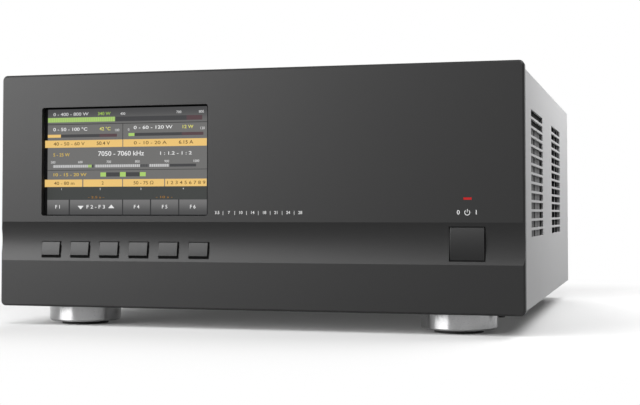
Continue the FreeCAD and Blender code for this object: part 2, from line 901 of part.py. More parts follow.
# ---------------------------------------------------------------- buttons, switches and light
def makeButton(label, x, z, width, height, profile, crown, flangeFront, stemRadius, stemEnd):
    """A cap with a crowned face, a flange that keeps it behind the panel, and a round stem."""
    body = newBody(label)
    cap = sketchOn(body, "YZ", x)
    outline(cap, profile, crown)
    padBothWays(body, cap, width)
    roundEdges(body, "Fillet", "buttonEdge", onFrontFace(body))
    flange = sketchOn(body, "XZ", flangeFront)
    centredRectangle(flange, x, z, f"({width} + 2 * flangeRim)", f"({height} + 2 * flangeRim)")
    pad(body, flange, "flangeThickness")
    stem = sketchOn(body, "XZ", flangeFront)
    circle(stem, x, z, stemRadius)
    pad(body, stem, f"{stemEnd} - ({flangeFront})")


def onFrontFace(body):
    """A test for the edges round the foremost face of the body."""
    doc.recompute()
    face = min(body.Tip.Shape.Faces, key=lambda item: item.CenterOfMass.y)
    return lambda edge: any(edge.isSame(side) for side in face.Edges)


def makeMenuButtons():
    flangeFront = "panelBack - flangePocket + buttonPlay"
    profile = [
        ("frontFace + buttonSet", "buttonZ"),
        ("frontFace + buttonSet + buttonTilt", "buttonZ + buttonHeight"),
        (f"{flangeFront} + flangeThickness / 2", "buttonZ + buttonHeight"),
        (f"{flangeFront} + flangeThickness / 2", "buttonZ"),
    ]
    for index in range(int(sizeOf("buttonCount"))):
        makeButton(f"menu_button_{index + 1}", buttonX(index), "buttonMiddle", "buttonWidth", "buttonHeight",
                   profile, "buttonCrown", flangeFront, "stemRadius", "subpanelBack + stemReach")
    strip = box("switchStrip", "firstButton - switchStripEnd", "subpanelBack + switchDepth",
                "buttonMiddle - switchStripHeight / 2",
                "(buttonCount - 1) * buttonPitch + 2 * switchStripEnd", "boardSheet", "switchStripHeight")
    switches = []
    for index in range(int(sizeOf("buttonCount"))):
        body = centredBoxOnWall(f"switchBlock{index}", buttonX(index), "subpanelBack", "buttonMiddle",
                                "switchWidth", "switchDepth", "switchWidth")
        bore = rod(f"switchBore{index}", buttonX(index), "subpanelBack", "buttonMiddle",
                   "stemRadius + slideFit", "switchDepth", "y")
        switches.append(cut(f"switch{index}", body, [bore]))
    node("menu_switches", group("menuSwitches", [strip] + switches))


def makePowerButton():
    flangeFront = "panelBack - powerPocket + buttonPlay"
    profile = [
        ("frontFace + powerSet", "powerZ"),
        ("frontFace + powerSet", "powerZ + powerHeight"),
        (f"{flangeFront} + flangeThickness / 2", "powerZ + powerHeight"),
        (f"{flangeFront} + flangeThickness / 2", "powerZ"),
    ]
    makeButton("power_button", "powerX", "powerMiddle", "powerWidth", "powerHeight", profile, "powerCrown",
               flangeFront, "powerStemRadius", "subpanelBack + powerStemReach")
    block = centredBoxOnWall("powerSwitchBlock", "powerX", "subpanelBack", "powerMiddle",
                             "powerSwitchWidth", "powerSwitchDepth", "powerSwitchWidth")
    bore = rod("powerSwitchBore", "powerX", "subpanelBack", "powerMiddle", "powerStemRadius + slideFit",
               "powerStemReach + powerTravel + boreEnd", "y")
    tabs = [centredBoxOnWall(f"powerSwitchTab{index}", f"powerX + {side} * powerSwitchWidth / 4",
                             "subpanelBack + powerSwitchDepth", "powerMiddle",
                             "bladeWidth", "tabLength", "bladeSheet") for index, side in enumerate((-1, 1))]
    node("power_switch", fuse("powerSwitch", [cut("powerSwitchBody", block, [bore])] + tabs))


def makePowerLight():
    body = newBody("power_light")
    bar = sketchOn(body, "XZ", "frontFace + lightSet")
    rectangle(bar, "lightX - lightWidth / 2 + lightFit", "lightZ + lightFit",
              "lightWidth - 2 * lightFit", "lightHeight - 2 * lightFit")
    pad(body, bar, "subpanelBack + lightTail - frontFace - lightSet")
    flange = sketchOn(body, "XZ", "subpanelBack")
    rectangle(flange, "lightX - lightWidth / 2 - lightFlange", "lightZ - lightFlange",
              "lightWidth + 2 * lightFlange", "lightHeight + 2 * lightFlange")
    pad(body, flange, "lightFlangeThickness")


# ---------------------------------------------------------------- case
def coverScrewPlaces():
    spacing = "(caseDepth - 2 * coverScrewStart) / (coverScrewsPerSide - 1)"
    count = int(sizeOf("coverScrewsPerSide"))
    rows = [f"panelBack + coverScrewStart + {index} * {spacing}" for index in range(count)]
    return [(f"{side} * (caseWidth / 2 - coverScrewInset)", y) for side in (-1, 1) for y in rows]


def makeCover():
    body = newBody("top_cover")
    wrap = sketchOn(body, "XZ", "panelBack")
    outline(wrap, [
        ("-caseWidth / 2", "caseBottom"),
        ("-caseWidth / 2 + coverLip", "caseBottom"),
        ("-caseWidth / 2 + coverLip", "caseBottom + coverSheet"),
        ("-innerHalf", "caseBottom + coverSheet"),
        ("-innerHalf", "innerTop"),
        ("innerHalf", "innerTop"),
        ("innerHalf", "caseBottom + coverSheet"),
        ("caseWidth / 2 - coverLip", "caseBottom + coverSheet"),
        ("caseWidth / 2 - coverLip", "caseBottom"),
        ("caseWidth / 2", "caseBottom"),
        ("caseWidth / 2", "caseTop"),
        ("-caseWidth / 2", "caseTop"),
    ])
    pad(body, wrap, "caseDepth")
    slots = sketchOn(body, "YZ")
    for start in ("frontVentStart", "rearVentStart"):
        rectangle(slots, f"frontFace + {start}", "panelBottom + ventBottom", "ventLength", "ventHeight")
    slot = pocketThrough(body, slots)
    linearCopies(body, slot, "Z", "ventPitch", "ventRows")
    holes = sketchOn(body, "XY", "caseBottom")
    for x, y in coverScrewPlaces():
        circle(holes, x, y, "panelScrewRadius + screwHole")
    pocket(body, holes, "coverSheet")


def makeTray():
    body = newBody("chassis_tray")
    section = sketchOn(body, "XZ", "panelBack")
    outline(section, [
        ("-bayHalf", "trayBottom"),
        ("bayHalf", "trayBottom"),
        ("bayHalf", "trayTop - seat"),
        ("bayHalf - traySheet", "trayTop - seat"),
        ("bayHalf - traySheet", "trayTop"),
        ("-bayHalf + traySheet", "trayTop"),
        ("-bayHalf + traySheet", "trayTop - seat"),
        ("-bayHalf", "trayTop - seat"),
    ])
    pad(body, section, "caseDepth")
    walls = sketchOn(body, "XZ", "panelBack + subpanelSheet + seat")
    for x in ("-bayHalf", "bayHalf - traySheet"):
        rectangle(walls, x, "trayTop - seat", "traySheet", "trayWall")
    pad(body, walls, "caseDepth - subpanelSheet - rearSheet - 2 * seat")
    tabs = sketchOn(body, "XZ", "rearInside - traySheet")
    for side in (-1, 1):
        rectangle(tabs, f"{side} * tabX - tabWidth / 2", "trayTop - seat", "tabWidth", "trayWall")
    for x, z in tabScrewPlaces():
        circle(tabs, x, z, "panelScrewRadius + screwFit")
    pad(body, tabs, "traySheet")
    holes = sketchOn(body, "XY", "trayBottom")
    for x, y in coverScrewPlaces():
        circle(holes, x, y, "panelScrewRadius + screwFit")
    for x, y in footPlaces():
        circle(holes, x, y, "footScrewRadius + screwFit")
    pocket(body, holes, "traySheet")
    screws = [
        screw(f"coverScrew{index}", x, y, "caseBottom", "panelScrewRadius", "coverScrewBite",
              "screwHeadRadius", "screwHeadHeight", "z")
        for index, (x, y) in enumerate(coverScrewPlaces(), 1)
    ]
    node("cover_screws", group("coverScrews", screws))


def makeBulkhead():
    """An angle on the tray, and on it a wall with a window for the air and one for the leads."""
    left = "-innerHalf + bulkheadGap"
    width = "2 * (innerHalf - bulkheadGap)"
    angleTop = "trayTop + 2 * bulkheadFoot"
    upright = box("bulkheadUpright", left, "bulkheadY", "trayTop", width, "bulkheadSheet", "2 * bulkheadFoot")
    foot = box("bulkheadFlange", "-innerHalf + bulkheadFoot", "bulkheadY", "trayTop",
               "2 * (innerHalf - bulkheadFoot)", "bulkheadFoot", "bulkheadSheet")
    wall = box("bulkheadPlate", left, "bulkheadY", angleTop, width, "bulkheadSheet",
               "bulkheadHeight - 2 * bulkheadFoot")
    windows = [
        box("bulkheadSideWindow", "filterLeft + bulkheadWindow / 2", "bulkheadY", angleTop,
            "bulkheadWindow", "bulkheadSheet", "bulkheadWindow / 2"),
        box("bulkheadMiddleWindow", "-bulkheadWindow", "bulkheadY", angleTop,
            "2 * bulkheadWindow", "bulkheadSheet", "bulkheadWindow"),
    ]
    node("bulkhead", group("bulkheadPieces", [fuse("bulkheadAngle", [upright, foot]),
                                              cut("bulkheadWall", wall, windows)]))


# ---------------------------------------------------------------- feet
def footPlaces():
    return [(f"{side} * footSpread", y) for y in ("frontFootY", "rearFootY") for side in (-1, 1)]


def makeFeet():
    profile = [
        ("footBoreRadius", "footGap + padDepth + footSinkDepth"),
        ("footSinkRadius", "footGap + padDepth + footSinkDepth"),
        ("footSinkRadius", "footGap + padDepth"),
        ("padRadius + padFit", "footGap + padDepth"),
        ("padRadius + padFit", "footGap"),
        ("footRadius - footEdge", "footGap"),
        ("footRadius", "footGap + footEdge"),
        ("footRadius", "trayBottom"),
        ("footBoreRadius", "trayBottom"),
    ]
    labels = ("front_foot_left", "front_foot_right", "rear_foot_left", "rear_foot_right")
    pads = []
    screws = []
    for label, (x, y) in zip(labels, footPlaces()):
        turnedBody(label, profile, "Z", x, y, "0")
        block = rod(label + "Rubber", x, y, "0", "padRadius", "footGap + padDepth")
        hole = rod(label + "RubberHole", x, y, "0", "footSinkRadius", "footGap + padDepth")
        pads.append(cut(label + "Pad", block, [hole]))
        screws.append(screw(
            label + "Screw", x, y, "footGap + padDepth + footSinkDepth", "footScrewRadius",
            "trayTop - footGap - padDepth - footSinkDepth + footScrewBite - traySheet",
            "footScrewHead", "footScrewHeadHeight", "z"))
    node("foot_pads", group("footPads", pads))
    node("foot_screws", group("footScrews", screws))


# ---------------------------------------------------------------- rear panel
def socketPlaces():
    return [(f"-socketX - {side} * socketSpacing / 2", "trayTop + socketZ") for side in (-1, 1)]


def phonoPlaces():
    count = int(sizeOf("phonoCount"))
    return [(f"-phonoX + {index} * phonoSpacing", "trayTop + phonoZ") for index in range(count)]


def fusePlaces():
    return [(f"fuseX + {side} * fuseSpacing / 2", "trayTop + fuseZ") for side in (-1, 1)]


def fanCentres():
    return [("-fanSpacing / 2", "fanZ"), ("fanSpacing / 2", "fanZ")]


def fanScrewPlaces(x, z):
    return [(f"{x} + {right} * fanScrewSpacing / 2", f"{z} + {up} * fanScrewSpacing / 2")
            for right in (-1, 1) for up in (-1, 1)]


def makeRearPanel():
    body = newBody("rear_panel")
    plate = sketchOn(body, "XZ", "rearInside")
    rectangle(plate, "-bayHalf", "trayTop", "2 * bayHalf", "innerTop - seat - trayTop")
    for x, z in fanCentres():
        circle(plate, x, z, "fanBore")
        for screwX, screwZ in fanScrewPlaces(x, z):
            circle(plate, screwX, screwZ, "fanScrewRadius + screwHole")
    for x, z in socketPlaces():
        circle(plate, x, z, "socketRadius + openingPlay")
    for x, z in phonoPlaces():
        circle(plate, x, z, "phonoRadius + openingPlay")
    for x, z in fusePlaces():
        circle(plate, x, z, "fuseTube + openingPlay")
    circle(plate, "-groundX", "trayTop + groundZ", "groundRadius + screwFit")
    for x, z in tabScrewPlaces():
        circle(plate, x, z, "panelScrewRadius + screwHole")
    centredRectangle(plate, "inletX", "trayTop + inletZ",
                     "(inletWidth + 2 * openingPlay)", "(inletHeight + 2 * openingPlay)")
    for width, z in (("serialWidth", "serialZ"), ("auxWidth", "auxZ")):
        centredRectangle(plate, "-portX", f"trayTop + {z}",
                         f"({width} - portShellInset)", "(portShellHeight + 2 * openingPlay)")
    centredRectangle(plate, "-networkX", "trayTop + networkZ",
                     "(networkWidth + 2 * openingPlay)", "(networkHeight + 2 * openingPlay)")
    pad(body, plate, "rearSheet")


def makeSockets():
    shells = []
    for index, (x, z) in enumerate(socketPlaces(), 1):
        name = f"socket{index}"
        flange = centredBoxOnWall(name + "Flange", x, "rearFace", z, "socketFlange", "socketFlangeThickness",
                                  "socketFlange")
        barrel = rod(name + "Barrel", x, "rearFace", z, "socketRadius", "socketReach", "y")
        tail = rod(name + "Tail", x, "rearFace - socketTail", z, "socketTailRadius", "socketTail", "y")
        well = rod(name + "Well", x, "rearFace + socketReach - socketBoreDepth", z, "socketBore",
                   "socketBoreDepth", "y")
        contact = rod(name + "Contact", x, "rearFace + socketReach - socketBoreDepth", z, "socketContact",
                      "socketBoreDepth - socketContactSet", "y")
        contactBore = rod(name + "ContactBore", x, "rearFace + socketReach - socketBoreDepth", z,
                          "socketContactBore", "socketBoreDepth", "y")
        shell = cut(name + "Shell", fuse(name + "Body", [flange, barrel, tail]), [well])
        shells.append(cut(name, fuse(name + "Whole", [shell, contact]), [contactBore]))
    node("rf_sockets", group("rfSockets", shells))


def makePhonoJacks():
    middle = "-phonoX + (phonoCount - 1) * phonoSpacing / 2"
    plate = centredBoxOnWall("phonoPlate", middle, "rearFace", "trayTop + phonoZ",
                             "phonoCount * phonoSpacing", "phonoPlate", "phonoSpacing")
    holes = []
    jacks = []
    for index, (x, z) in enumerate(phonoPlaces(), 1):
        holes.append(rod(f"phonoHole{index}", x, "rearFace", z, "phonoNeck + seat", "phonoPlate", "y"))
        neck = rod(f"phonoNeck{index}", x, "rearFace - phonoTail", z, "phonoNeck", "phonoTail + phonoPlate", "y")
        ring = rod(f"phonoRing{index}", x, "rearFace + phonoPlate", z, "phonoRadius",
                   "phonoReach - phonoPlate", "y")
        well = rod(f"phonoWell{index}", x, "rearFace + phonoReach - phonoDepth", z, "phonoBore / 2",
                   "phonoDepth", "y")
        jacks.append(cut(f"phonoJack{index}", fuse(f"phonoBody{index}", [neck, ring]), [well]))
    node("phono_jacks", group("phonoJacks", [cut("phonoMount", plate, holes)] + jacks))


def makeGround():
    post = turnedBody("ground_post", [
        ("0", "-groundTail"),
        ("groundNut", "-groundTail"),
        ("groundNut", "-rearSheet"),
        ("groundRadius", "-rearSheet"),
        ("groundRadius", "0"),
        ("groundNut", "0"),
        ("groundNut", "groundNutHeight"),
        ("groundRadius", "groundNutHeight"),
        ("groundRadius", "groundReach"),
        ("0", "groundReach"),
    ], "Y", "-groundX", "rearFace", "trayTop + groundZ")
    nut = newBody("wing_nut")
    boss = sketchOn(nut, "XZ", "0")
    circle(boss, "0", "0", "wingBoss")
    pad(nut, boss, "wingBossLength")
    wings = sketchOn(nut, "XZ", "wingBossLength / 2 - wingThickness / 2")
    outline(wings, [
        ("-wingSpan / 2", "wingHeight / 2"),
        ("-wingBoss / 2", "-wingBoss / 2"),
        ("wingBoss / 2", "-wingBoss / 2"),
        ("wingSpan / 2", "wingHeight / 2"),
        ("wingSpan / 2 - wingThickness", "wingHeight"),
        ("0", "wingBoss / 2"),
        ("-wingSpan / 2 + wingThickness", "wingHeight"),
    ])
    pad(nut, wings, "wingThickness")
    hole = sketchOn(nut, "XZ", "0")
    circle(hole, "0", "0", "groundRadius + threadFit")
    pocket(nut, hole, "wingBossLength")
    placeAt(nut, "-groundX", "rearFace + groundNutHeight + seat", "trayTop + groundZ")
    return post


def makeInlet():
    body = newBody("mains_inlet")
    z = "trayTop + inletZ"
    flange = sketchOn(body, "XZ", "rearFace")
    centredRectangle(flange, "inletX", z, "inletFlangeWidth", "inletFlangeHeight")
    pad(body, flange, "inletFlange")
    housing = sketchOn(body, "XZ", "rearFace - inletDepth")
    centredRectangle(housing, "inletX", z, "inletWidth", "inletHeight")
    pad(body, housing, "inletDepth")
    cavity = sketchOn(body, "XZ", "rearFace + inletFlange")
    centredRectangle(cavity, "inletX", z, "inletCavityWidth", "inletCavityHeight")
    pocket(body, cavity, "inletCavityDepth", towardsPlus=False)
    blades = sketchOn(body, "XZ", "rearFace + inletFlange - inletCavityDepth - bladeSheet / 2")
    centredRectangle(blades, "inletX", f"{z} + bladeDrop", "bladeSheet", "bladeWidth")
    for side in (-1, 1):
        centredRectangle(blades, f"inletX + {side} * bladeSpread", f"{z} - bladeDrop",
                         "bladeSheet", "bladeWidth")
    pad(body, blades, "bladeLength + bladeSheet / 2")
    tabs = sketchOn(body, "XZ", "rearFace - inletDepth - tabLength")
    for side in (-1, 0, 1):
        centredRectangle(tabs, f"inletX + {side} * bladeSpread", z, "bladeWidth", "bladeSheet / 2")
    pad(body, tabs, "tabLength")


def makeFuses():
    holders = []
    for index, (x, z) in enumerate(fusePlaces(), 1):
        tube = rod(f"fuseTube{index}", x, "rearFace - fuseTubeLength", z, "fuseTube", "fuseTubeLength", "y")
        collar = rod(f"fuseCollar{index}", x, "rearFace", z, "fuseCollar", "fuseCollarDepth", "y")
        bore = rod(f"fuseBore{index}", x, "rearFace - fusePlug - boreEnd", z, "fuseRadius + fuseFit",
                   "fusePlug + fuseCollarDepth + boreEnd", "y")
        holders.append(cut(f"fuseHolder{index}", fuse(f"fuseBody{index}", [tube, collar]), [bore]))
        cap = newBody(f"fuse_cap_{index}")
        plug = sketchOn(cap, "XZ", "rearFace - fusePlug")
        circle(plug, x, z, "fuseRadius")
        pad(cap, plug, "fusePlug + fuseCollarDepth + 2 * seat")
        knob = sketchOn(cap, "XZ", "rearFace + fuseCollarDepth + seat")
        circle(knob, x, z, "fuseKnob")
        pad(cap, knob, "fuseKnobLength")
        grip = sketchOn(cap, "XZ", "rearFace + fuseCollarDepth + seat + fuseKnobLength / 3")
        for side in (-1, 1):
            centredRectangle(grip, f"{x} + {side} * (fuseKnob - fuseGrip / 4)", z, "fuseGrip", "3 * fuseGrip")
        pocket(cap, grip, "fuseKnobLength")
    node("fuse_holders", group("fuseHolders", holders))


def makePorts():
    ports = []
    for name, width, z in (("serial", "serialWidth", "serialZ"), ("aux", "auxWidth", "auxZ")):
        middle = f"trayTop + {z}"
        flange = centredBoxOnWall(name + "Flange", "-portX", "rearFace", middle, width, "portFlange",
                                  "portFlangeHeight")
        shell = centredBoxOnWall(name + "Shell", "-portX", "rearFace - portTail", middle,
                                 f"{width} - portShellInset - 2 * openingPlay", "portTail + portReach",
                                 "portShellHeight")
        ports.append(fuse(name + "Port", [flange, shell]))
    case = centredBoxOnWall("networkCase", "-networkX", "rearFace + networkReach - networkDepth",
                            "trayTop + networkZ", "networkWidth", "networkDepth", "networkHeight")
    mouth = centredBoxOnWall("networkMouth", "-networkX", "rearFace + networkReach - networkCavityDepth",
                             "trayTop + networkZ", "networkCavityWidth", "networkCavityDepth",
                             "networkCavityHeight")
    ports.append(cut("networkPort", case, [mouth]))
    board = box("portBoard", "-networkX - networkWidth / 2",
                "rearFace + networkReach - networkDepth - boardSheet",
                "trayTop + auxZ - portFlangeHeight", "networkX - portX + networkWidth / 2 + auxWidth / 2",
                "boardSheet", "serialZ - auxZ + 2 * portFlangeHeight")
    pins = [centredBoxOnWall(name + "Pins", "-portX", "rearFace + networkReach - networkDepth",
                             f"trayTop + {z}", f"{width} / 2", "networkDepth - networkReach - portTail",
                             "portShellHeight / 2")
            for name, width, z in (("serial", "serialWidth", "serialZ"), ("aux", "auxWidth", "auxZ"))]
    node("data_ports", group("dataPorts", ports + [board] + pins))


# ---------------------------------------------------------------- fans
def makeFans():
    guards = []
    screws = []
    for side, (x, z) in zip(("left", "right"), fanCentres()):
        makeFanFrame(f"fan_frame_{side}", x, z)
        makeRotor(f"fan_rotor_{side}", x, z)
        guards += makeGuard(f"{side}Guard", x, z)
        for index, (screwX, screwZ) in enumerate(fanScrewPlaces(x, z), 1):
            screws.append(screw(f"{side}FanScrew{index}", screwX, "rearFace + 2 * guardWire", screwZ,
                                "fanScrewRadius", "2 * guardWire + rearSheet + fanDepth / 2",
                                "screwHeadRadius", "screwHeadHeight", "-y"))
    node("fan_guards", group("fanGuards", guards))
    node("fan_screws", group("fanScrews", screws))


def makeFanFrame(label, x, z):
    body = newBody(label)
    frame = sketchOn(body, "XZ", "fanFront")
    centredRectangle(frame, x, z, "fanSize", "fanSize")
    circle(frame, x, z, "fanBore")
    for screwX, screwZ in fanScrewPlaces(x, z):
        circle(frame, screwX, screwZ, "fanScrewRadius + screwFit")
    pad(body, frame, "fanDepth")
    arms = sketchOn(body, "XZ", "fanFront")
    centredRectangle(arms, x, z, "(2 * (fanBore + fanArmRoot))", "fanArmWidth")
    pad(body, arms, "fanArmDepth")
    posts = sketchOn(body, "XZ", "fanFront")
    centredRectangle(posts, x, z, "fanArmWidth", "(2 * (fanBore + fanArmRoot))")
    pad(body, posts, "fanArmDepth")
    hub = sketchOn(body, "XZ", "fanFront")
    circle(hub, x, z, "fanHubRadius")
    pad(body, hub, "fanArmDepth")
    bearing = sketchOn(body, "XZ", "fanFront")
    circle(bearing, x, z, "fanBearing")
    pad(body, bearing, "fanArmDepth + fanBearingLength")
    bore = sketchOn(body, "XZ", "fanFront")
    circle(bore, x, z, "fanShaft + fanShaftFit")
    pocket(body, bore, "fanArmDepth + fanBearingLength")


def makeRotor(label, x, z):
    """The rotor's cup opens forwards over the bearing, its shaft runs in the bearing."""
    body = newBody(label)
    cup = sketchOn(body, "XY")
    outline(cup, [
        ("0", "rotorDepth"),
        ("0", "-fanArmDepth / 2"),
        ("fanShaft", "-fanArmDepth / 2"),
        ("fanShaft", "rotorDepth - rotorSkin"),
        ("rotorRadius - rotorSkin", "rotorDepth - rotorSkin"),
        ("rotorRadius - rotorSkin", "0"),
        ("rotorRadius", "0"),
        ("rotorRadius", "rotorDepth"),
    ])
    turn(body, cup)
    blade = sketchOn(body, "YZ", "rotorRadius - rotorSkin / 2")
    middle = "rotorDepth / 2"
    outline(blade, [
        (f"{middle} - bladeHalfDepth", "-bladeHalfRise"),
        (f"{middle} - bladeHalfDepth + bladeThickness", "-bladeHalfRise"),
        (f"{middle} + bladeHalfDepth", "bladeHalfRise"),
        (f"{middle} + bladeHalfDepth - bladeThickness", "bladeHalfRise"),
    ])
    first = pad(body, blade, "bladeTip - rotorRadius + rotorSkin / 2")
    doc.recompute()
    pattern = body.newObject("PartDesign::PolarPattern", "blades")
    pattern.Originals = [first]
    pattern.Axis = (originOf(body, "Y_Axis"), [""])
    pattern.Angle = 360
    bind(pattern, Occurrences="bladeCount")
    body.Tip = pattern
    placeAt(body, x, "rotorFront", z)


def makeGuard(name, x, z):
    """Four spokes with an eye at each end, and rings of wire that sit on the outer side of the spokes."""
    y = "rearFace + guardWire"
    frame = []
    for index, (screwX, screwZ) in enumerate(fanScrewPlaces(x, z), 1):
        frame.append(hoop(f"{name}Eye{index}", screwX, y, screwZ, "fanScrewRadius + guardWire + screwHole",
                          "guardWire", "y"))
    reach = "(fanScrewSpacing / 2 * sqrt(2) - fanScrewRadius - guardWire)"
    for index, angle in enumerate((45, 135, 225, 315), 1):
        spoke = rod(f"{name}Spoke{index}", x, y, z, "guardSpoke", reach)
        spoke.Placement.Rotation = FreeCAD.Rotation(FreeCAD.Vector(0, 1, 0), angle)
        frame.append(spoke)
    rings = [hoop(f"{name}Ring{index}", x, f"{y} + guardSpoke + guardWire", z, f"{index} * guardRing",
                  "guardWire", "y")
             for index in range(1, int(sizeOf("guardRings")) + 1)]
    return [fuse(f"{name}Frame", frame)] + rings


# ---------------------------------------------------------------- power amplifier deck
def makeHeatsink():
    body = newBody("heatsink")
    base = sketchOn(body, "XZ", "sinkFront")
    rectangle(base, "-sinkWidth / 2", "sinkTopZ - sinkBase", "sinkWidth", "sinkBase")
    pad(body, base, "sinkLength")
    legs = sketchOn(body, "XZ", "sinkFront")
    for x in ("-sinkWidth / 2", "sinkWidth / 2 - legThickness"):
        rectangle(legs, x, "trayTop", "legThickness", "sinkTop - sinkBase / 2")
    pad(body, legs, "sinkLength")
    pitch = "(sinkWidth - 2 * legThickness) / (finCount + 1)"
    fin = sketchOn(body, "XZ", "sinkFront")
    rectangle(fin, f"-sinkWidth / 2 + legThickness + {pitch} - finThickness / 2",
              "sinkTopZ - sinkBase / 2 - finHeight", "finThickness", "finHeight")
    first = pad(body, fin, "sinkLength")
    doc.recompute()
    linearCopies(body, first, "X", pitch, "finCount")

    plate = newBody("heat_spreader")
    sheet = sketchOn(plate, "XY", "sinkTopZ")
    centredRectangle(sheet, "0", "rfMiddleY", "spreaderWidth", "spreaderLength")
    pad(plate, sheet, "spreaderThickness")


def makeAmplifierBoard():
    body = newBody("amplifier_board")
    board = sketchOn(body, "XY", "spreaderTop")
    centredRectangle(board, "0", "rfMiddleY", "rfBoardWidth", "rfBoardLength")
    for side in (-1, 1):
        centredRectangle(board, f"{side} * transistorSpacing / 2", "rfMiddleY",
                         "(transistorWidth + 2 * openingPlay)", "(transistorLength + 2 * openingPlay)")
    pad(body, board, "boardSheet")
    transistors = [centredBox(f"transistor{index}", f"{side} * transistorSpacing / 2", "rfMiddleY",
                              "spreaderTop", "transistorWidth", "transistorLength", "transistorHeight")
                   for index, side in enumerate((-1, 1), 1)]
    node("rf_transistors", group("rfTransistors", transistors))
    ferrites = []
    for index, side in enumerate((-1, 1), 1):
        y = f"rfMiddleY + {side} * rfBoardLength / 3"
        block = centredBox(f"ferriteBlock{index}", "0", y, "rfBoardTop", "ferriteWidth", "ferriteLength",
                           "ferriteHeight")
        bores = [rod(f"ferriteBore{index}{place}", f"{place} * ferriteWidth / 4",
                     f"{y} - ferriteLength / 2", "rfBoardTop + ferriteHeight / 2", "ferriteBore",
                     "ferriteLength", "y") for place in (-1, 1)]
        ferrites.append(cut(f"ferrite{index}", block, bores))
    node("ferrite_transformers", group("ferriteTransformers", ferrites))


# ---------------------------------------------------------------- low-pass filter
def makeFilter():
    board = newBody("filter_board")
    sheet = sketchOn(board, "XY", "boardBottom")
    rectangle(sheet, "filterLeft", "filterFront", "filterWidth", "filterLength")
    pad(board, sheet, "boardSheet")
    coils = []
    for index in range(int(sizeOf("coilCount"))):
        y = f"filterFront + coilPitch * {index + 0.5}"
        coils.append(hoop(f"coil{index}", "filterLeft + coilRow", y, "boardTop + coilRadius + coilWire",
                          "coilRadius", "coilWire", "x"))
    node("filter_coils", group("filterCoils", coils))
    relays = []
    for index in range(int(sizeOf("relayCount"))):
        y = f"filterFront + coilPitch * {index + 0.5}"
        relays.append(centredBox(f"relay{index}", "filterLeft + relayRow", y, "boardTop", "relayWidth",
                                 "relayLength", "relayHeight"))
    node("filter_relays", group("filterRelays", relays))
    capacitors = []
    for index in range(int(sizeOf("capCount"))):
        y = f"filterFront + coilPitch * {index + 0.5}"
        capacitors.append(rod(f"filterCap{index}", "filterLeft + capRow", y, "boardTop",
                              "capRadius", "capHeight"))
    node("filter_capacitors", group("filterCapacitors", capacitors))


# ---------------------------------------------------------------- power supply
def makeSupply():
    case = newBody("supply_case")
    shell = sketchOn(case, "XY", "trayTop")
    rectangle(shell, "supplyLeft", "supplyFront", "supplyWidth", "supplyLength")
    pad(case, shell, "supplyHeight")
    inside = sketchOn(case, "XY", "supplyFloor")
    rectangle(inside, "supplyLeft + supplySheet", "supplyFront + supplySheet",
              "supplyWidth - 2 * supplySheet", "supplyLength - 2 * supplySheet")
    pocket(case, inside, "supplyHeight")
    slot = sketchOn(case, "YZ")
    rectangle(slot, "supplyFront + (supplyLength - supplyVentLength) / 2", "trayTop + supplyVentBottom",
              "supplyVentLength", "supplyVentHeight")
    linearCopies(case, pocketThrough(case, slot), "Z", "supplyVentPitch", "supplyVentRows")

    board = newBody("supply_board")
    sheet = sketchOn(board, "XY", "supplyBoardBottom")
    rectangle(sheet, "supplyBoardX", "supplyBoardY",
              "supplyWidth - 2 * (supplySheet + supplyBoardInset)",
              "supplyLength - 2 * (supplySheet + supplyBoardInset)")
    pad(board, sheet, "boardSheet")

    coreX = "supplyBoardX + coreWidth"
    middleY = "supplyFront + supplyLength / 2"
    core = centredBox("coreBlock", coreX, middleY, "supplyBoardTop", "coreWidth", "coreLength", "coreHeight")
    winding = rod("winding", coreX, f"{middleY} - coreLength / 2 - windingOverhang",
                  "supplyBoardTop + coreHeight / 2", "windingRadius", "coreLength + 2 * windingOverhang", "y")
    node("supply_transformer", fuse("supplyTransformer", [core, winding]))
    capacitors = []
    y = "supplyFront + supplyLength - supplySheet - bulkRadius - supplyGap"
    for index in range(int(sizeOf("bulkCount"))):
        x = f"{coreX} + coreWidth / 2 + bulkRadius + supplyGap + {index} * bulkPitch"
        capacitors.append(rod(f"bulk{index}", x, y, "supplyBoardTop", "bulkRadius", "bulkHeight"))
    node("supply_capacitors", group("supplyCapacitors", capacitors))
    sinkX = f"{coreX} + coreWidth / 2 + supplyGap"
    plate = box("supplySinkPlate", sinkX, "supplyBoardY + supplyGap + supplySinkFin", "supplyBoardTop",
                "supplySinkLength", "supplySinkThickness", "supplySinkHeight")
    fins = [box(f"supplySinkFin{index}",
                f"{sinkX} + {index} * (supplySinkLength - finThickness) / (supplySinkFins - 1)",
                "supplyBoardY + supplyGap", "supplyBoardTop", "finThickness",
                "supplySinkFin + supplySinkThickness / 2", "supplySinkHeight")
            for index in range(int(sizeOf("supplySinkFins")))]
    node("supply_heatsink", fuse("supplyHeatsink", [plate] + fins))


def makeMainsFilter():
    can = newBody("mains_filter")
    block = sketchOn(can, "XY", "trayTop")
    centredRectangle(block, "filterCanX", "rearInside - filterCanBack - filterCanLength / 2",
                     "filterCanWidth", "filterCanLength")
    pad(can, block, "filterCanHeight")


def makeSpacers():
    spacers = []
    corners = [("filterLeft", "filterFront", "filterWidth", "filterLength", "trayTop"),
               ("supplyBoardX", "supplyBoardY", "supplyWidth - 2 * (supplySheet + supplyBoardInset)",
                "supplyLength - 2 * (supplySheet + supplyBoardInset)", "supplyFloor")]
    for board, (x, y, width, length, z) in enumerate(corners):
        for right in (0, 1):
            for back in (0, 1):
                spacers.append(rod(
                    f"spacer{board}{right}{back}",
                    f"{x} + spacerInset + {right} * ({width} - 2 * spacerInset)",
                    f"{y} + spacerInset + {back} * ({length} - 2 * spacerInset)",
                    z, "spacerRadius", "spacerHeight"))
    node("board_spacers", group("boardSpacers", spacers))


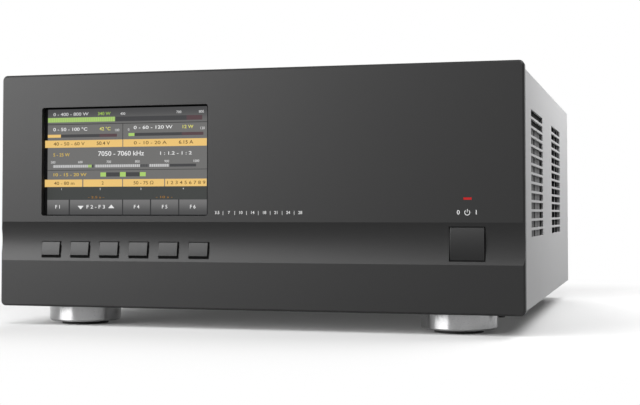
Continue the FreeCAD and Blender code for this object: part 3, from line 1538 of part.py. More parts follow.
def makeLeads():
    """Coaxial leads from the sockets down to the filter board, and the mains leads to the mains filter."""
    leads = []
    for index, (x, z) in enumerate(socketPlaces(), 1):
        exitY = "rearFace - socketTail - coaxExit"
        straight = rod(f"coaxExit{index}", x, exitY, z, "coaxRadius", "coaxExit", "y")
        bend = doc.addObject("Part::Torus", f"coaxBend{index}")
        bind(bend, Radius1="coaxBend", Radius2="coaxRadius")
        bend.Angle3 = 90
        bend.Placement.Rotation = FreeCAD.Rotation(FreeCAD.Vector(0, 0, 1), FreeCAD.Vector(0, -1, 0),
                                                   FreeCAD.Vector(1, 0, 0), "ZXY")
        placeAt(bend, x, exitY, f"{z} - coaxBend")
        drop = rod(f"coaxDrop{index}", x, f"{exitY} - coaxBend", "boardTop", "coaxRadius",
                   f"{z} - coaxBend - boardTop")
        leads.append(fuse(f"coax{index}", [straight, bend, drop]))
    for side in (-1, 0, 1):
        leads.append(rod(f"mainsLead{side + 1}", f"inletX + {side} * bladeSpread",
                         "rearInside - filterCanBack", "trayTop + inletZ", "mainsLeadRadius",
                         "filterCanBack + rearSheet - inletDepth - tabLength", "y"))
    node("leads", group("leadGroup", leads))


# ---------------------------------------------------------------- build, check and write
makeFrontPanel()
makeDisplay()
makeSubpanel()
makeMenuButtons()
makePowerButton()
makePowerLight()
makeCover()
makeTray()
makeBulkhead()
makeFeet()
makeRearPanel()
makeSockets()
makePhonoJacks()
makeGround()
makeInlet()
makeFuses()
makePorts()
makeFans()
makeHeatsink()
makeAmplifierBoard()
makeFilter()
makeSupply()
makeMainsFilter()
makeSpacers()
makeLeads()
doc.recompute()

for item in doc.Objects:
    if "Invalid" in item.State or "Error" in item.State:
        raise RuntimeError(f"{item.Label} did not recompute: {item.State}")
for item in nodes:
    if item.Shape.isNull() or not item.Shape.isValid() or not item.Shape.Solids:
        raise RuntimeError(f"{item.Label} has no valid solid")

os.makedirs("parts", exist_ok=True)
for item in nodes:
    item.Shape.exportStep(f"parts/{item.Label}.step")
print(f"{len(nodes)} nodes written")
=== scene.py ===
import math

import bpy
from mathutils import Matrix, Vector


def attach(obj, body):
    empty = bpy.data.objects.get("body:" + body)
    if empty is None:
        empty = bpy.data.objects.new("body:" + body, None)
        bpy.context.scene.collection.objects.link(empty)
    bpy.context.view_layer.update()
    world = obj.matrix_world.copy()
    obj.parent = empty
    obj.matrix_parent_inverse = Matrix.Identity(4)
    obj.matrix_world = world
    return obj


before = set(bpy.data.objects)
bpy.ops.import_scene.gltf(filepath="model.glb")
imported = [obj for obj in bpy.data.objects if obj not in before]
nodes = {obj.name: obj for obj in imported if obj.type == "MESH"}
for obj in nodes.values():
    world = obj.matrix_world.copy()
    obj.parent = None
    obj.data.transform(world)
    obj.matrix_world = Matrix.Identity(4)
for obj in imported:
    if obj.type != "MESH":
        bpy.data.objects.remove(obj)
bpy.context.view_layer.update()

mm = 0.001
print("frame loaded:", len(nodes), "nodes")


class Wire:
    # a socket of a finish, so that shader sums read as plain Python
    def __init__(self, finish, socket):
        self.finish = finish
        self.socket = socket

    def maths(self, operation, first, second=0.0):
        return self.finish.add("Math", {"operation": operation}, {0: first, 1: second})

    def __add__(self, other):
        return self.maths("ADD", self, other)

    def __radd__(self, other):
        return self.maths("ADD", other, self)

    def __sub__(self, other):
        return self.maths("SUBTRACT", self, other)

    def __rsub__(self, other):
        return self.maths("SUBTRACT", other, self)

    def __mul__(self, other):
        return self.maths("MULTIPLY", self, other)

    def __rmul__(self, other):
        return self.maths("MULTIPLY", other, self)

    def __lt__(self, other):
        return self.maths("LESS_THAN", self, other)

    def __gt__(self, other):
        return self.maths("GREATER_THAN", self, other)

    def size(self):
        return self.maths("ABSOLUTE", self)


class Finish:
    # one material, or the world; add() makes any node, the rest are short names for common ones
    def __init__(self, name, owner=None):
        self.material = owner or bpy.data.materials.new(name)
        self.material.use_nodes = True
        self.tree = self.material.node_tree
        self.tree.nodes.clear()

    def add(self, kind, settings=None, values=None, output=0):
        made = self.tree.nodes.new("ShaderNode" + kind)
        for name, value in (settings or {}).items():
            setattr(made, name, value)
        for name, value in (values or {}).items():
            if isinstance(value, Wire):
                self.tree.links.new(value.socket, made.inputs[name])
            else:
                made.inputs[name].default_value = value
        return Wire(self, made.outputs[output]) if made.outputs else made

    def place(self, stretch):
        spot = self.add("TexCoord", output="Object")
        return self.add("VectorMath", {"operation": "MULTIPLY"}, {0: spot, 1: stretch})

    def axes(self):
        spot = self.add("TexCoord", output="Object")
        split = self.add("SeparateXYZ", {}, {0: spot}).socket.node
        return [Wire(self, socket) for socket in split.outputs]

    def noise(self, scale, detail, stretch=(1, 1, 1)):
        return self.add("TexNoise", {}, {"Vector": self.place(stretch), "Scale": scale, "Detail": detail})

    def mix(self, share, first, second):
        colours = [value if isinstance(value, Wire) else (*value, 1) for value in (first, second)]
        return self.add("Mix", {"data_type": "RGBA"}, {0: share, 6: colours[0], 7: colours[1]}, 2)

    def smooth(self, value, low, high):
        return self.add("MapRange", {"interpolation_type": "SMOOTHSTEP"},
                        {"Value": value, "From Min": low, "From Max": high})

    def bump(self, height, depth):
        return self.add("Bump", {}, {"Height": height, "Distance": depth, "Strength": 1.0})

    def looking(self):
        # above 0 for rays that look, straight or by way of shine and glass, and 0 for those that only light
        ray = self.add("LightPath").socket.node
        straight, shine, clear = (Wire(self, ray.outputs[f"Is {kind} Ray"])
                                  for kind in ("Camera", "Glossy", "Transmission"))
        return straight + shine + clear

    def surface(self, values):
        shader = self.add("BsdfPrincipled", {}, values)
        self.add("OutputMaterial", {}, {"Surface": shader})
        return self.material


# plain finishes: two shades, the roughness and its spread, the grain's fineness and its depth in mm
plainFinishes = {
    "buttonSatin": dict(
        shade=(0.0055, 0.0055, 0.0056), other=(0.0068, 0.0068, 0.0069), rough=0.38, spread=0.06, metal=0,
        grain=5200, depth=0.006, gloss=0.26),
    "rubber": dict(
        shade=(0.012, 0.012, 0.012), other=(0.022, 0.022, 0.022), rough=0.75, spread=0.1, metal=0,
        grain=2600, depth=0.03),
    "casePaint": dict(
        shade=(0.50, 0.50, 0.505), other=(0.53, 0.53, 0.535), rough=0.60, spread=0.05, metal=0, grain=3600,
        depth=0.012, gloss=0.12),
    "rearPaint": dict(
        shade=(0.055, 0.055, 0.057), other=(0.07, 0.07, 0.072), rough=0.5, spread=0.08, metal=0.0,
        grain=2600, depth=0.025),
    "zincSteel": dict(
        shade=(0.48, 0.49, 0.50), other=(0.60, 0.60, 0.58), rough=0.34, spread=0.14, metal=0.9, grain=140,
        depth=0.004),
    "blackOxide": dict(
        shade=(0.018, 0.018, 0.019), other=(0.03, 0.03, 0.031), rough=0.36, spread=0.08, metal=0.6,
        grain=3000, depth=0.006),
    "extrudedAluminium": dict(
        shade=(0.60, 0.60, 0.61), other=(0.68, 0.68, 0.69), rough=0.36, spread=0.12, metal=1, grain=900,
        stretch=(1, 0.02, 1), depth=0.01),
    "copper": dict(
        shade=(0.72, 0.33, 0.19), other=(0.62, 0.27, 0.16), rough=0.3, spread=0.12, metal=1, grain=900,
        stretch=(1, 0.03, 1), depth=0.006),
    "blackPlastic": dict(
        shade=(0.018, 0.018, 0.019), other=(0.026, 0.026, 0.027), rough=0.48, spread=0.08, metal=0,
        grain=2400, depth=0.014),
    "ceramic": dict(
        shade=(0.78, 0.76, 0.70), other=(0.83, 0.81, 0.76), rough=0.3, spread=0.06, metal=0, grain=1800,
        depth=0.004),
    "ferrite": dict(
        shade=(0.035, 0.033, 0.032), other=(0.06, 0.056, 0.053), rough=0.6, spread=0.12, metal=0.1,
        grain=1500, depth=0.02),
    "relayPlastic": dict(
        shade=(0.025, 0.04, 0.07), other=(0.03, 0.05, 0.085), rough=0.32, spread=0.06, metal=0, grain=2200,
        depth=0.004),
    "dippedCapacitor": dict(
        shade=(0.50, 0.16, 0.03), other=(0.58, 0.20, 0.04), rough=0.3, spread=0.1, metal=0, grain=900,
        depth=0.02),
    "chrome": dict(
        shade=(0.72, 0.72, 0.73), other=(0.78, 0.78, 0.79), rough=0.14, spread=0.08, metal=1, grain=1600,
        depth=0.002),
    "nickel": dict(
        shade=(0.66, 0.64, 0.60), other=(0.74, 0.72, 0.68), rough=0.22, spread=0.1, metal=1, grain=1400,
        depth=0.003),
    "gilt": dict(
        shade=(0.83, 0.58, 0.22), other=(0.88, 0.64, 0.28), rough=0.22, spread=0.1, metal=1, grain=1400,
        depth=0.003),
    "brass": dict(
        shade=(0.72, 0.53, 0.24), other=(0.80, 0.61, 0.30), rough=0.28, spread=0.12, metal=1, grain=1200,
        depth=0.004),
    # painted shade: near-black for the shadowed gaps round the buttons and the cross recesses in the screw
    # heads
    "paintedShadeBlack": dict(
        shade=(0.002, 0.002, 0.002), other=(0.003, 0.003, 0.003), rough=0.85, spread=0.06, metal=0,
        grain=2600, depth=0.01, gloss=0.05),
    # painted shade: near-black strips behind the side slots, for the shadowed inside of the case
    "ventShadeBlack": dict(
        shade=(0.003, 0.003, 0.003), other=(0.005, 0.005, 0.005), rough=0.9, spread=0.08, metal=0,
        grain=1800, depth=0.03, gloss=0.05),
    "stayPaint": dict(
        shade=(0.34, 0.34, 0.345), other=(0.38, 0.38, 0.385), rough=0.5, spread=0.08, metal=0, grain=900,
        depth=0.01, gloss=0.3),
    # grey panels behind the side slots: partly their own grey and partly painted shade, darkened well below
    # plated steel for the shadow inside the case
    "greyPanelPaintedShade": dict(
        shade=(0.078, 0.078, 0.08), other=(0.094, 0.094, 0.096), rough=0.6, spread=0.08, metal=0,
        grain=900, depth=0.01, gloss=0.2),
    "insulator": dict(
        shade=(0.76, 0.75, 0.72), other=(0.82, 0.81, 0.78), rough=0.35, spread=0.06, metal=0, grain=1600,
        depth=0.004),
    "redWasher": dict(
        shade=(0.42, 0.02, 0.02), other=(0.48, 0.03, 0.03), rough=0.4, spread=0.06, metal=0, grain=1600,
        depth=0.004),
    "leadSleeve": dict(
        shade=(0.015, 0.015, 0.016), other=(0.03, 0.03, 0.031), rough=0.5, spread=0.1, metal=0, grain=1800,
        depth=0.02),
    "windingTape": dict(
        shade=(0.62, 0.48, 0.06), other=(0.70, 0.55, 0.10), rough=0.4, spread=0.1, metal=0, grain=900,
        depth=0.02),
    "sleeve": dict(
        shade=(0.02, 0.03, 0.06), other=(0.03, 0.04, 0.075), rough=0.28, spread=0.08, metal=0, grain=900,
        depth=0.006),
    "slottedPlastic": dict(
        shade=(0.02, 0.02, 0.02), other=(0.03, 0.03, 0.03), rough=0.42, spread=0.1, metal=0, grain=2000,
        depth=0.02),
    "panelInk": dict(
        shade=(0.50, 0.50, 0.50), other=(0.56, 0.56, 0.56), rough=0.5, spread=0.06, metal=0, grain=3000,
        depth=0.004),
}
cloudLook = dict(grain=18, share=0.6)      # the broad change of shade in every plain finish


def plainFinish(name, shade, other, rough, spread, metal, grain, depth, stretch=(1, 1, 1), gloss=0.5):
    finish = Finish(name)
    speckle = finish.noise(grain, 4, stretch)
    cloud = finish.noise(cloudLook["grain"], 2)
    share = cloud * cloudLook["share"] + speckle * (1 - cloudLook["share"])
    return finish.surface({
        "Base Color": finish.mix(share, shade, other),
        "Roughness": rough - spread / 2 + speckle * spread,
        "Metallic": metal,
        "Specular IOR Level": gloss,
        "Normal": finish.bump(speckle, depth * mm),
    })


finishes = {name: plainFinish(name, **values) for name, values in plainFinishes.items()}

# front panel: bead-blasted and anodised, darker and duller inside the window's recess, where the colour is
# painted shade for the recess's shadowed walls
panelLook = dict(shade=(0.006, 0.006, 0.0061), other=(0.0072, 0.0072, 0.0073), gloss=0.26,
                 rough=0.39, spread=0.06, beads=6500, beadShare=0.3, depth=0.006, clouds=9, cloudShare=0.7,
                 recess=(-175.3, -32.9, 88.4, 175.8), recessStart=-233.6,
                 recessPaintedShade=(0.006, 0.006, 0.006), recessRough=0.3)


def panelFinish():
    look = panelLook
    finish = Finish("anodisedPanel")
    x, y, z = finish.axes()
    left, right, low, high = (value * mm for value in look["recess"])
    inside = (x - (left + right) / 2).size() < (right - left) / 2
    inside = inside * ((z - (low + high) / 2).size() < (high - low) / 2)
    inside = inside * (y > look["recessStart"] * mm)
    beads = finish.noise(look["beads"], 2)
    cloud = finish.noise(look["clouds"], 2)
    plain = finish.mix(beads * look["beadShare"] + cloud * look["cloudShare"], look["shade"], look["other"])
    return finish.surface({
        # painted shade: inside the recess the colour turns to the darker recess colour
        "Base Color": finish.mix(inside, plain, look["recessPaintedShade"]),
        "Roughness": look["rough"] + beads * look["spread"] + inside * look["recessRough"],
        "Specular IOR Level": look["gloss"],
        "Normal": finish.bump(beads, look["depth"] * mm),
    })


finishes["anodisedPanel"] = panelFinish()

# feet: turned aluminium, fine rings round each foot's own axis, shine drawn out across them
footLook = dict(across=156, front=-191.5, rear=173.5, shade=(0.30, 0.30, 0.303), other=(0.35, 0.35, 0.353),
                rough=0.26, spread=0.04, grain=900, stretch=(1, 1, 6), ringPitch=0.35, ringDepth=0.004,
                brushed=0.9, brushTurn=0.25)


def footFinish():
    look = footLook
    finish = Finish("turnedAluminium")
    x, y, z = finish.axes()
    middle = (look["front"] + look["rear"]) / 2
    half = (look["rear"] - look["front"]) / 2
    across = x.size() - look["across"] * mm
    along = (y - middle * mm).size() - half * mm
    reach = finish.add("Math", {"operation": "SQRT"}, {0: across * across + along * along})
    ringsPerMetre = 2 * math.pi / (look["ringPitch"] * mm)
    rings = finish.add("Math", {"operation": "SINE"}, {0: (reach + z) * ringsPerMetre})
    speckle = finish.noise(look["grain"], 3, look["stretch"])
    return finish.surface({
        "Base Color": finish.mix(speckle, look["shade"], look["other"]),
        "Roughness": look["rough"] + speckle * look["spread"],
        "Metallic": 1.0,
        "Anisotropic": look["brushed"],
        "Anisotropic Rotation": look["brushTurn"],
        "Normal": finish.bump(rings * 0.5 + speckle * 0.5, look["ringDepth"] * mm),
    })


finishes["turnedAluminium"] = footFinish()

# the window: nearly clear, and without shine so that the display behind it stays legible
glassLook = dict(shade=(0.02, 0.021, 0.022, 1), smears=60, rough=0.02, spread=0.02, cover=0.04, smear=0.01)


def glassFinish():
    finish = Finish("windowGlass")
    smears = finish.noise(glassLook["smears"], 3)
    return finish.surface({
        "Base Color": glassLook["shade"],
        "Roughness": glassLook["rough"] + smears * glassLook["spread"],
        "Specular IOR Level": 0.0,
        "Alpha": glassLook["cover"] + smears * glassLook["smear"],
    })


finishes["windowGlass"] = glassFinish()

# power light: a red lens, lit from within
lensLook = dict(shade=(0.12, 0.003, 0.003, 1), ribs=700, rough=0.3, spread=0.1, gloss=0.15,
                glow=(0.40, 0.012, 0.014), otherGlow=(0.52, 0.02, 0.022), strength=0.72)


def lensFinish():
    finish = Finish("redLens")
    ribs = finish.noise(lensLook["ribs"], 2)
    return finish.surface({
        "Base Color": lensLook["shade"],
        "Roughness": lensLook["rough"] + ribs * lensLook["spread"],
        "Specular IOR Level": lensLook["gloss"],
        "Emission Color": finish.mix(ribs, lensLook["glow"], lensLook["otherGlow"]),
        "Emission Strength": lensLook["strength"],
    })


finishes["redLens"] = lensFinish()

# circuit boards: green solder mask over a maze of tracks
boardLook = dict(mask=(0.012, 0.10, 0.04), track=(0.02, 0.16, 0.065), pad=(0.66, 0.60, 0.48),
                 cells=420, wander=0.6, lanes=3.0, trackShare=0.45, padShare=0.09,
                 rough=0.38, padShine=0.12, trackDepth=0.02)


def boardFinish():
    finish = Finish("circuitBoard")
    spot = finish.place((boardLook["cells"],) * 3)
    cells = finish.add("TexVoronoi", {"distance": "CHEBYCHEV"},
                       {"Vector": spot, "Scale": 1.0, "Randomness": boardLook["wander"]})
    tracks = cells.maths("FRACT", cells * boardLook["lanes"]) < boardLook["trackShare"]
    pads = cells < boardLook["padShare"]
    colour = finish.mix(pads, finish.mix(tracks, boardLook["mask"], boardLook["track"]), boardLook["pad"])
    return finish.surface({
        "Base Color": colour,
        "Roughness": boardLook["rough"] - pads * boardLook["padShine"],
        "Metallic": pads,
        "Normal": finish.bump(tracks, boardLook["trackDepth"] * mm),
    })


finishes["circuitBoard"] = boardFinish()

# coil wire: enamelled copper, turns side by side up the coil
wireLook = dict(shade=(0.30, 0.09, 0.03), other=(0.62, 0.24, 0.09), pitch=1.6, depth=0.25,
                rough=0.3, spread=0.05, metal=0.9)


def wireFinish():
    finish = Finish("coilWire")
    turnsPerMetre = 2 * math.pi / (wireLook["pitch"] * mm)
    turns = finish.add("Math", {"operation": "SINE"}, {0: finish.axes()[2] * turnsPerMetre})
    return finish.surface({
        "Base Color": finish.mix(turns * 0.5 + 0.5, wireLook["shade"], wireLook["other"]),
        "Roughness": wireLook["rough"] + turns * wireLook["spread"],
        "Metallic": wireLook["metal"],
        "Normal": finish.bump(turns, wireLook["depth"] * mm),
    })


finishes["coilWire"] = wireFinish()
print("finishes made")

# the display's picture, in mm across and down from its upper left corner
# a zone is its shade, where it starts and ends across, and where it starts and ends down
screenLook = dict(
    left=-173.35, top=174.5, width=137.15, height=85.0, margin=2.4, face=-227.2, glowDepth=0.4,
    dots=9000, rough=0.4, spread=0.1, unlit=((0.006, 0.006, 0.007), (0.010, 0.010, 0.011)),
    softFade=(73.5, 84.5), rowFade=(1.0, 15.0),
    ticksPerMm=0.62, tickShare=0.3, tickDepth=0.8, tickShade=(0.2, 0.2, 0.2),
    wholeTicks=(4.8, 105.5, 45.0, 47.2), faintTicks=(0, 59.0, 6.8, 10.5),
    zones=[
        ("soft", 0.0, 137.2, 73.0, 85.0), ("gap", 18.9, 20.1, 73.0, 85.0), ("gap", 65.5, 66.4, 73.0, 85.0),
        ("gap", 89.35, 90.4, 73.0, 85.0), ("gap", 113.2, 114.2, 73.0, 85.0), ("gap", 0.0, 137.2, 72.7, 73.1),
        ("dim", 0.0, 137.2, 62.7, 72.8),
        # painted shadow: the dark zone down the display's left edge stands in for the shadow of the recess's
        # left wall; the amber bars run on through it
        ("dark", -2.4, 0.0, 0.0, 85.0),
        ("amber", -2.4, 65.5, 25.1, 31.0), ("amber", 66.2, 136.9, 25.1, 31.0),
        ("amber", -2.4, 30.8, 56.8, 62.7), ("amber", 31.7, 65.5, 56.8, 62.7),
        ("amber", 66.2, 101.4, 56.8, 62.7), ("amber", 102.1, 136.9, 56.8, 62.7),
        ("gap", 0.0, 137.2, 12.0, 12.5), ("gap", 65.5, 66.0, 12.5, 25.1), ("gap", 0.0, 137.2, 49.1, 49.5),
        ("track", 0.0, 133.1, 6.8, 10.5), ("track", 0.0, 60.7, 20.4, 22.8),
        ("track", 70.7, 134.1, 20.1, 22.5), ("track", 4.8, 128.1, 45.0, 47.2),
        ("track", 51.4, 80.6, 51.3, 54.6),
        ("red", 120.0, 133.1, 6.8, 10.5), ("red", 45.6, 60.7, 20.4, 22.8), ("red", 116.0, 134.1, 20.1, 22.5),
        ("green", 0.0, 59.0, 6.8, 10.5), ("amber", 0.0, 11.6, 20.4, 22.8), ("green", 70.7, 75.8, 20.1, 22.5),
        ("white", 4.8, 36.0, 45.0, 47.2), ("green", 36.0, 39.0, 45.0, 47.2),
        ("white", 41.6, 80.6, 45.0, 47.2), ("white", 88.4, 105.5, 45.0, 47.2),
        ("green", 46.6, 51.4, 51.3, 54.6), ("green", 63.5, 68.5, 51.1, 54.8),
        ("green", 80.6, 85.6, 51.3, 54.6),
    ],
    # dark is the colour of the painted shadow at the display's left edge
    shades=dict(dark=(0.004, 0.004, 0.004), amber=(0.91, 0.60, 0.20), green=(0.44, 0.68, 0.17),
                white=(0.62, 0.62, 0.62), red=(0.105, 0.062, 0.068), track=(0.062, 0.062, 0.064),
                gap=(0.035, 0.035, 0.035), dim=(0.058, 0.062, 0.058)),
    rows=((0.080, 0.080, 0.082), (0.175, 0.173, 0.168)),
    soft=((0.185, 0.183, 0.182), (0.078, 0.078, 0.078)),
)


def screenFinish():
    finish = Finish("litDisplay")
    x, y, z = finish.axes()
    across = x * (1 / mm) - screenLook["left"]
    down = screenLook["top"] - z * (1 / mm)
    cache = {}

    def band(key, value, low, high):
        if (key, low, high) not in cache:
            cache[key, low, high] = (value - (low + high) / 2).size() < (high - low) / 2
        return cache[key, low, high]

    def zone(x0, x1, y0, y1):
        return band("across", across, x0, x1) * band("down", down, y0, y1)

    softShade = finish.mix(finish.smooth(down, *screenLook["softFade"]), *screenLook["soft"])
    picture = finish.mix(finish.smooth(down, *screenLook["rowFade"]), *screenLook["rows"])
    for kind, x0, x1, y0, y1 in screenLook["zones"]:
        shade = softShade if kind == "soft" else screenLook["shades"][kind]
        picture = finish.mix(zone(x0, x1, y0, y1), picture, shade)
    steps = across * screenLook["ticksPerMm"]
    ticks = steps.maths("FRACT", steps) < screenLook["tickShare"]
    bars = zone(*screenLook["wholeTicks"]) + zone(*screenLook["faintTicks"]) * 0.5
    picture = finish.mix(ticks * bars * screenLook["tickDepth"], picture, screenLook["tickShade"])
    lit = zone(-screenLook["margin"], screenLook["width"], 0, screenLook["height"])
    lit = lit * (y < (screenLook["face"] + screenLook["glowDepth"]) * mm)      # only the face glows
    dots = finish.noise(screenLook["dots"], 1)
    return finish.surface({
        "Base Color": finish.mix(dots, *screenLook["unlit"]),
        "Roughness": screenLook["rough"] + dots * screenLook["spread"],
        "Specular IOR Level": 0.0,
        "Emission Color": finish.mix(lit, (0, 0, 0), picture),
        "Emission Strength": 1.0,
    })


finishes["litDisplay"] = screenFinish()

# the colours that the words on the display glow in
glowLook = dict(unlit=(0.01, 0.01, 0.01, 1), dim=0.97)
glows = {
    "glowWhite": (0.90, 0.90, 0.90), "glowGrey": (0.68, 0.68, 0.68), "glowAmber": (0.72, 0.50, 0.10),
    "glowBrown": (0.20, 0.12, 0.035), "glowDark": (0.10, 0.06, 0.02), "glowGreen": (0.38, 0.60, 0.10),
    "glowYellow": (0.82, 0.78, 0.18), "glowOrange": (0.36, 0.17, 0.03),
}


def glowFinish(name, colour):
    finish = Finish(name)
    dots = finish.noise(screenLook["dots"], 1)
    return finish.surface({
        "Base Color": glowLook["unlit"],
        "Roughness": screenLook["rough"] + dots * screenLook["spread"],
        "Specular IOR Level": 0.0,
        "Emission Color": finish.mix(dots, tuple(glowLook["dim"] * part for part in colour), colour),
        "Emission Strength": 1.0,
    })


for name, colour in glows.items():
    finishes[name] = glowFinish(name, colour)
print("screen finishes made")

# which nodes have which finish
nodeFinish = {
    "anodisedPanel": ["front_panel"],
    "buttonSatin": [f"menu_button_{number}" for number in range(1, 7)] + ["power_button"],
    "windowGlass": ["display_window"],
    "litDisplay": ["display_module"],
    "rubber": ["display_gasket", "foot_pads"],
    "casePaint": ["top_cover"],
    "rearPaint": ["rear_panel"],
    "zincSteel": ["chassis_tray", "front_subpanel", "bulkhead", "supply_case", "mains_filter"],
    "redLens": ["power_light"],
    "turnedAluminium": ["front_foot_left", "front_foot_right", "rear_foot_left", "rear_foot_right"],
    "blackOxide": ["cover_screws", "fan_screws", "foot_screws", "panel_screws"],
    "extrudedAluminium": ["heatsink", "supply_heatsink"],
    "copper": ["heat_spreader"],
    "circuitBoard": ["control_board", "amplifier_board", "filter_board", "supply_board"],
    "blackPlastic": ["menu_switches", "power_switch", "mains_inlet", "fuse_holders", "fan_frame_left",
                     "fan_frame_right", "fan_rotor_left", "fan_rotor_right"],
    "slottedPlastic": ["fuse_cap_1", "fuse_cap_2"],
    "ceramic": ["rf_transistors"],
    "ferrite": ["ferrite_transformers"],
    "coilWire": ["filter_coils"],
    "relayPlastic": ["filter_relays"],
    "dippedCapacitor": ["filter_capacitors"],
    "sleeve": ["supply_capacitors"],
    "windingTape": ["supply_transformer"],
    "chrome": ["fan_guards"],
    "nickel": ["rf_sockets", "data_ports"],
    "gilt": ["phono_jacks"],
    "brass": ["ground_post", "wing_nut", "board_spacers"],
    "leadSleeve": ["leads"],
}


def dress(item, finishName):
    item.data.materials.clear()
    item.data.materials.append(finishes[finishName])


for finishName, names in nodeFinish.items():
    for name in names:
        dress(nodes[name], finishName)
print("nodes dressed")


def clearSelection():
    if bpy.context.object and bpy.context.object.mode != "OBJECT":
        bpy.ops.object.mode_set(mode="OBJECT")
    bpy.ops.object.select_all(action="DESELECT")


def pick(*items):
    clearSelection()
    for item in items:
        item.select_set(True)
    bpy.context.view_layer.objects.active = items[0]


def settle(item):
    pick(item)
    bpy.ops.object.transform_apply(location=True, rotation=True, scale=True)


def keep(item, name, finishName, body="chassis"):
    settle(item)
    item.name = name
    item.data.name = name
    dress(item, finishName)
    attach(item, body)


# lettering: a capital's share of the font size, how much strokes are thickened, and steps in a curve
letterLook = dict(capital=0.7, weight=0.012, steps=4)


def wording(text, tall, x, z, y, thick, width=None):
    clearSelection()
    bpy.ops.object.text_add()
    item = bpy.context.object
    item.data.body = text
    item.data.size = tall * mm / letterLook["capital"]
    item.data.align_x = "CENTER"
    item.data.align_y = "CENTER"
    item.data.extrude = thick * mm / 2
    item.data.offset = letterLook["weight"] * tall * mm
    item.data.resolution_u = letterLook["steps"]
    bpy.ops.object.convert(target="MESH")
    if width:
        item.scale.x = width * mm / item.dimensions.x
    item.rotation_euler.x = math.pi / 2
    item.location = (x * mm, y * mm, z * mm)
    settle(item)
    return item


def joined(items):
    pick(*items)
    bpy.ops.object.join()
    return items[0]


def shaped(item, modifier, kind, **settings):
    made = item.modifiers.new(modifier, kind)
    for name, value in settings.items():
        setattr(made, name, value)
    pick(item)
    bpy.ops.object.modifier_apply(modifier=modifier)
    return item


def outwards(item):
    pick(item)
    bpy.ops.object.mode_set(mode="EDIT")
    bpy.ops.mesh.select_all(action="SELECT")
    bpy.ops.mesh.remove_doubles(threshold=1e-6)
    bpy.ops.mesh.normals_make_consistent(inside=False)
    bpy.ops.object.mode_set(mode="OBJECT")
    return item


def copyOf(item, shift=(0, 0, 0), turn=(0, 0, 0)):
    pick(item)
    bpy.ops.object.duplicate()
    made = bpy.context.object
    made.location = [value * mm for value in shift]
    made.rotation_euler = turn
    settle(made)
    return made


def copies(item, shifts):
    # one copy at each shift, in place of the first
    made = [copyOf(item, shift) for shift in shifts]
    pick(item)
    bpy.ops.object.delete()
    return joined(made)


# a plate or bar with rounded edges, from its low to its high corner
def bar(low, high, edge):
    clearSelection()
    bpy.ops.mesh.primitive_cube_add(size=1, location=[(a + b) / 2 * mm for a, b in zip(low, high)])
    item = bpy.context.object
    item.scale = [(b - a) * mm for a, b in zip(low, high)]
    settle(item)
    return shaped(item, "edges", "BEVEL", width=edge * mm, segments=2)


# a turned piece round Y: each step is a radius and a place along Y, and the ends are closed
def turnedPiece(steps, sides):
    clearSelection()
    bpy.ops.mesh.primitive_circle_add(vertices=sides, radius=steps[0][0] * mm, fill_type="NGON",
                                      location=(0, steps[0][1] * mm, 0), rotation=(math.pi / 2, 0, 0))
    item = bpy.context.object
    settle(item)
    bpy.ops.object.mode_set(mode="EDIT")
    bpy.ops.mesh.select_all(action="SELECT")
    for (before, start), (after, end) in zip(steps, steps[1:]):
        bpy.ops.mesh.extrude_region_move(TRANSFORM_OT_translate={"value": (0, (end - start) * mm, 0)})
        bpy.ops.transform.resize(value=(after / before, 1, after / before), center_override=(0, end * mm, 0))
    bpy.ops.object.mode_set(mode="OBJECT")
    return outwards(item)


# a flat ring round Y with softened edges
def ringPiece(inner, outer, start, end, edge):
    ring = turnedPiece([(outer, start), (outer, end)], 40)
    pick(ring)
    bpy.ops.object.mode_set(mode="EDIT")
    bpy.ops.mesh.select_mode(type="FACE")
    bpy.ops.mesh.select_all(action="DESELECT")
    bpy.ops.object.mode_set(mode="OBJECT")
    for face in ring.data.polygons:
        face.select = abs(face.normal.y) > 0.9
    bpy.ops.object.mode_set(mode="EDIT")
    bpy.ops.mesh.inset(thickness=(outer - inner) * mm)
    bpy.ops.mesh.bridge_edge_loops()
    bpy.ops.object.mode_set(mode="OBJECT")
    outwards(ring)
    return shaped(ring, "edges", "BEVEL", width=edge * mm, segments=2)


# an arrowhead on the display: half its width, and how tall it is
def triangle(x, z, y, half, rise, thick):
    clearSelection()
    bpy.ops.mesh.primitive_cylinder_add(vertices=3, radius=half * mm / math.cos(math.pi / 6),
                                        depth=thick * mm, location=(x * mm, y * mm, z * mm),
                                        rotation=(math.pi / 2, 0, 0))
    item = bpy.context.object
    item.scale.y = rise / (2 * half)
    settle(item)
    return item


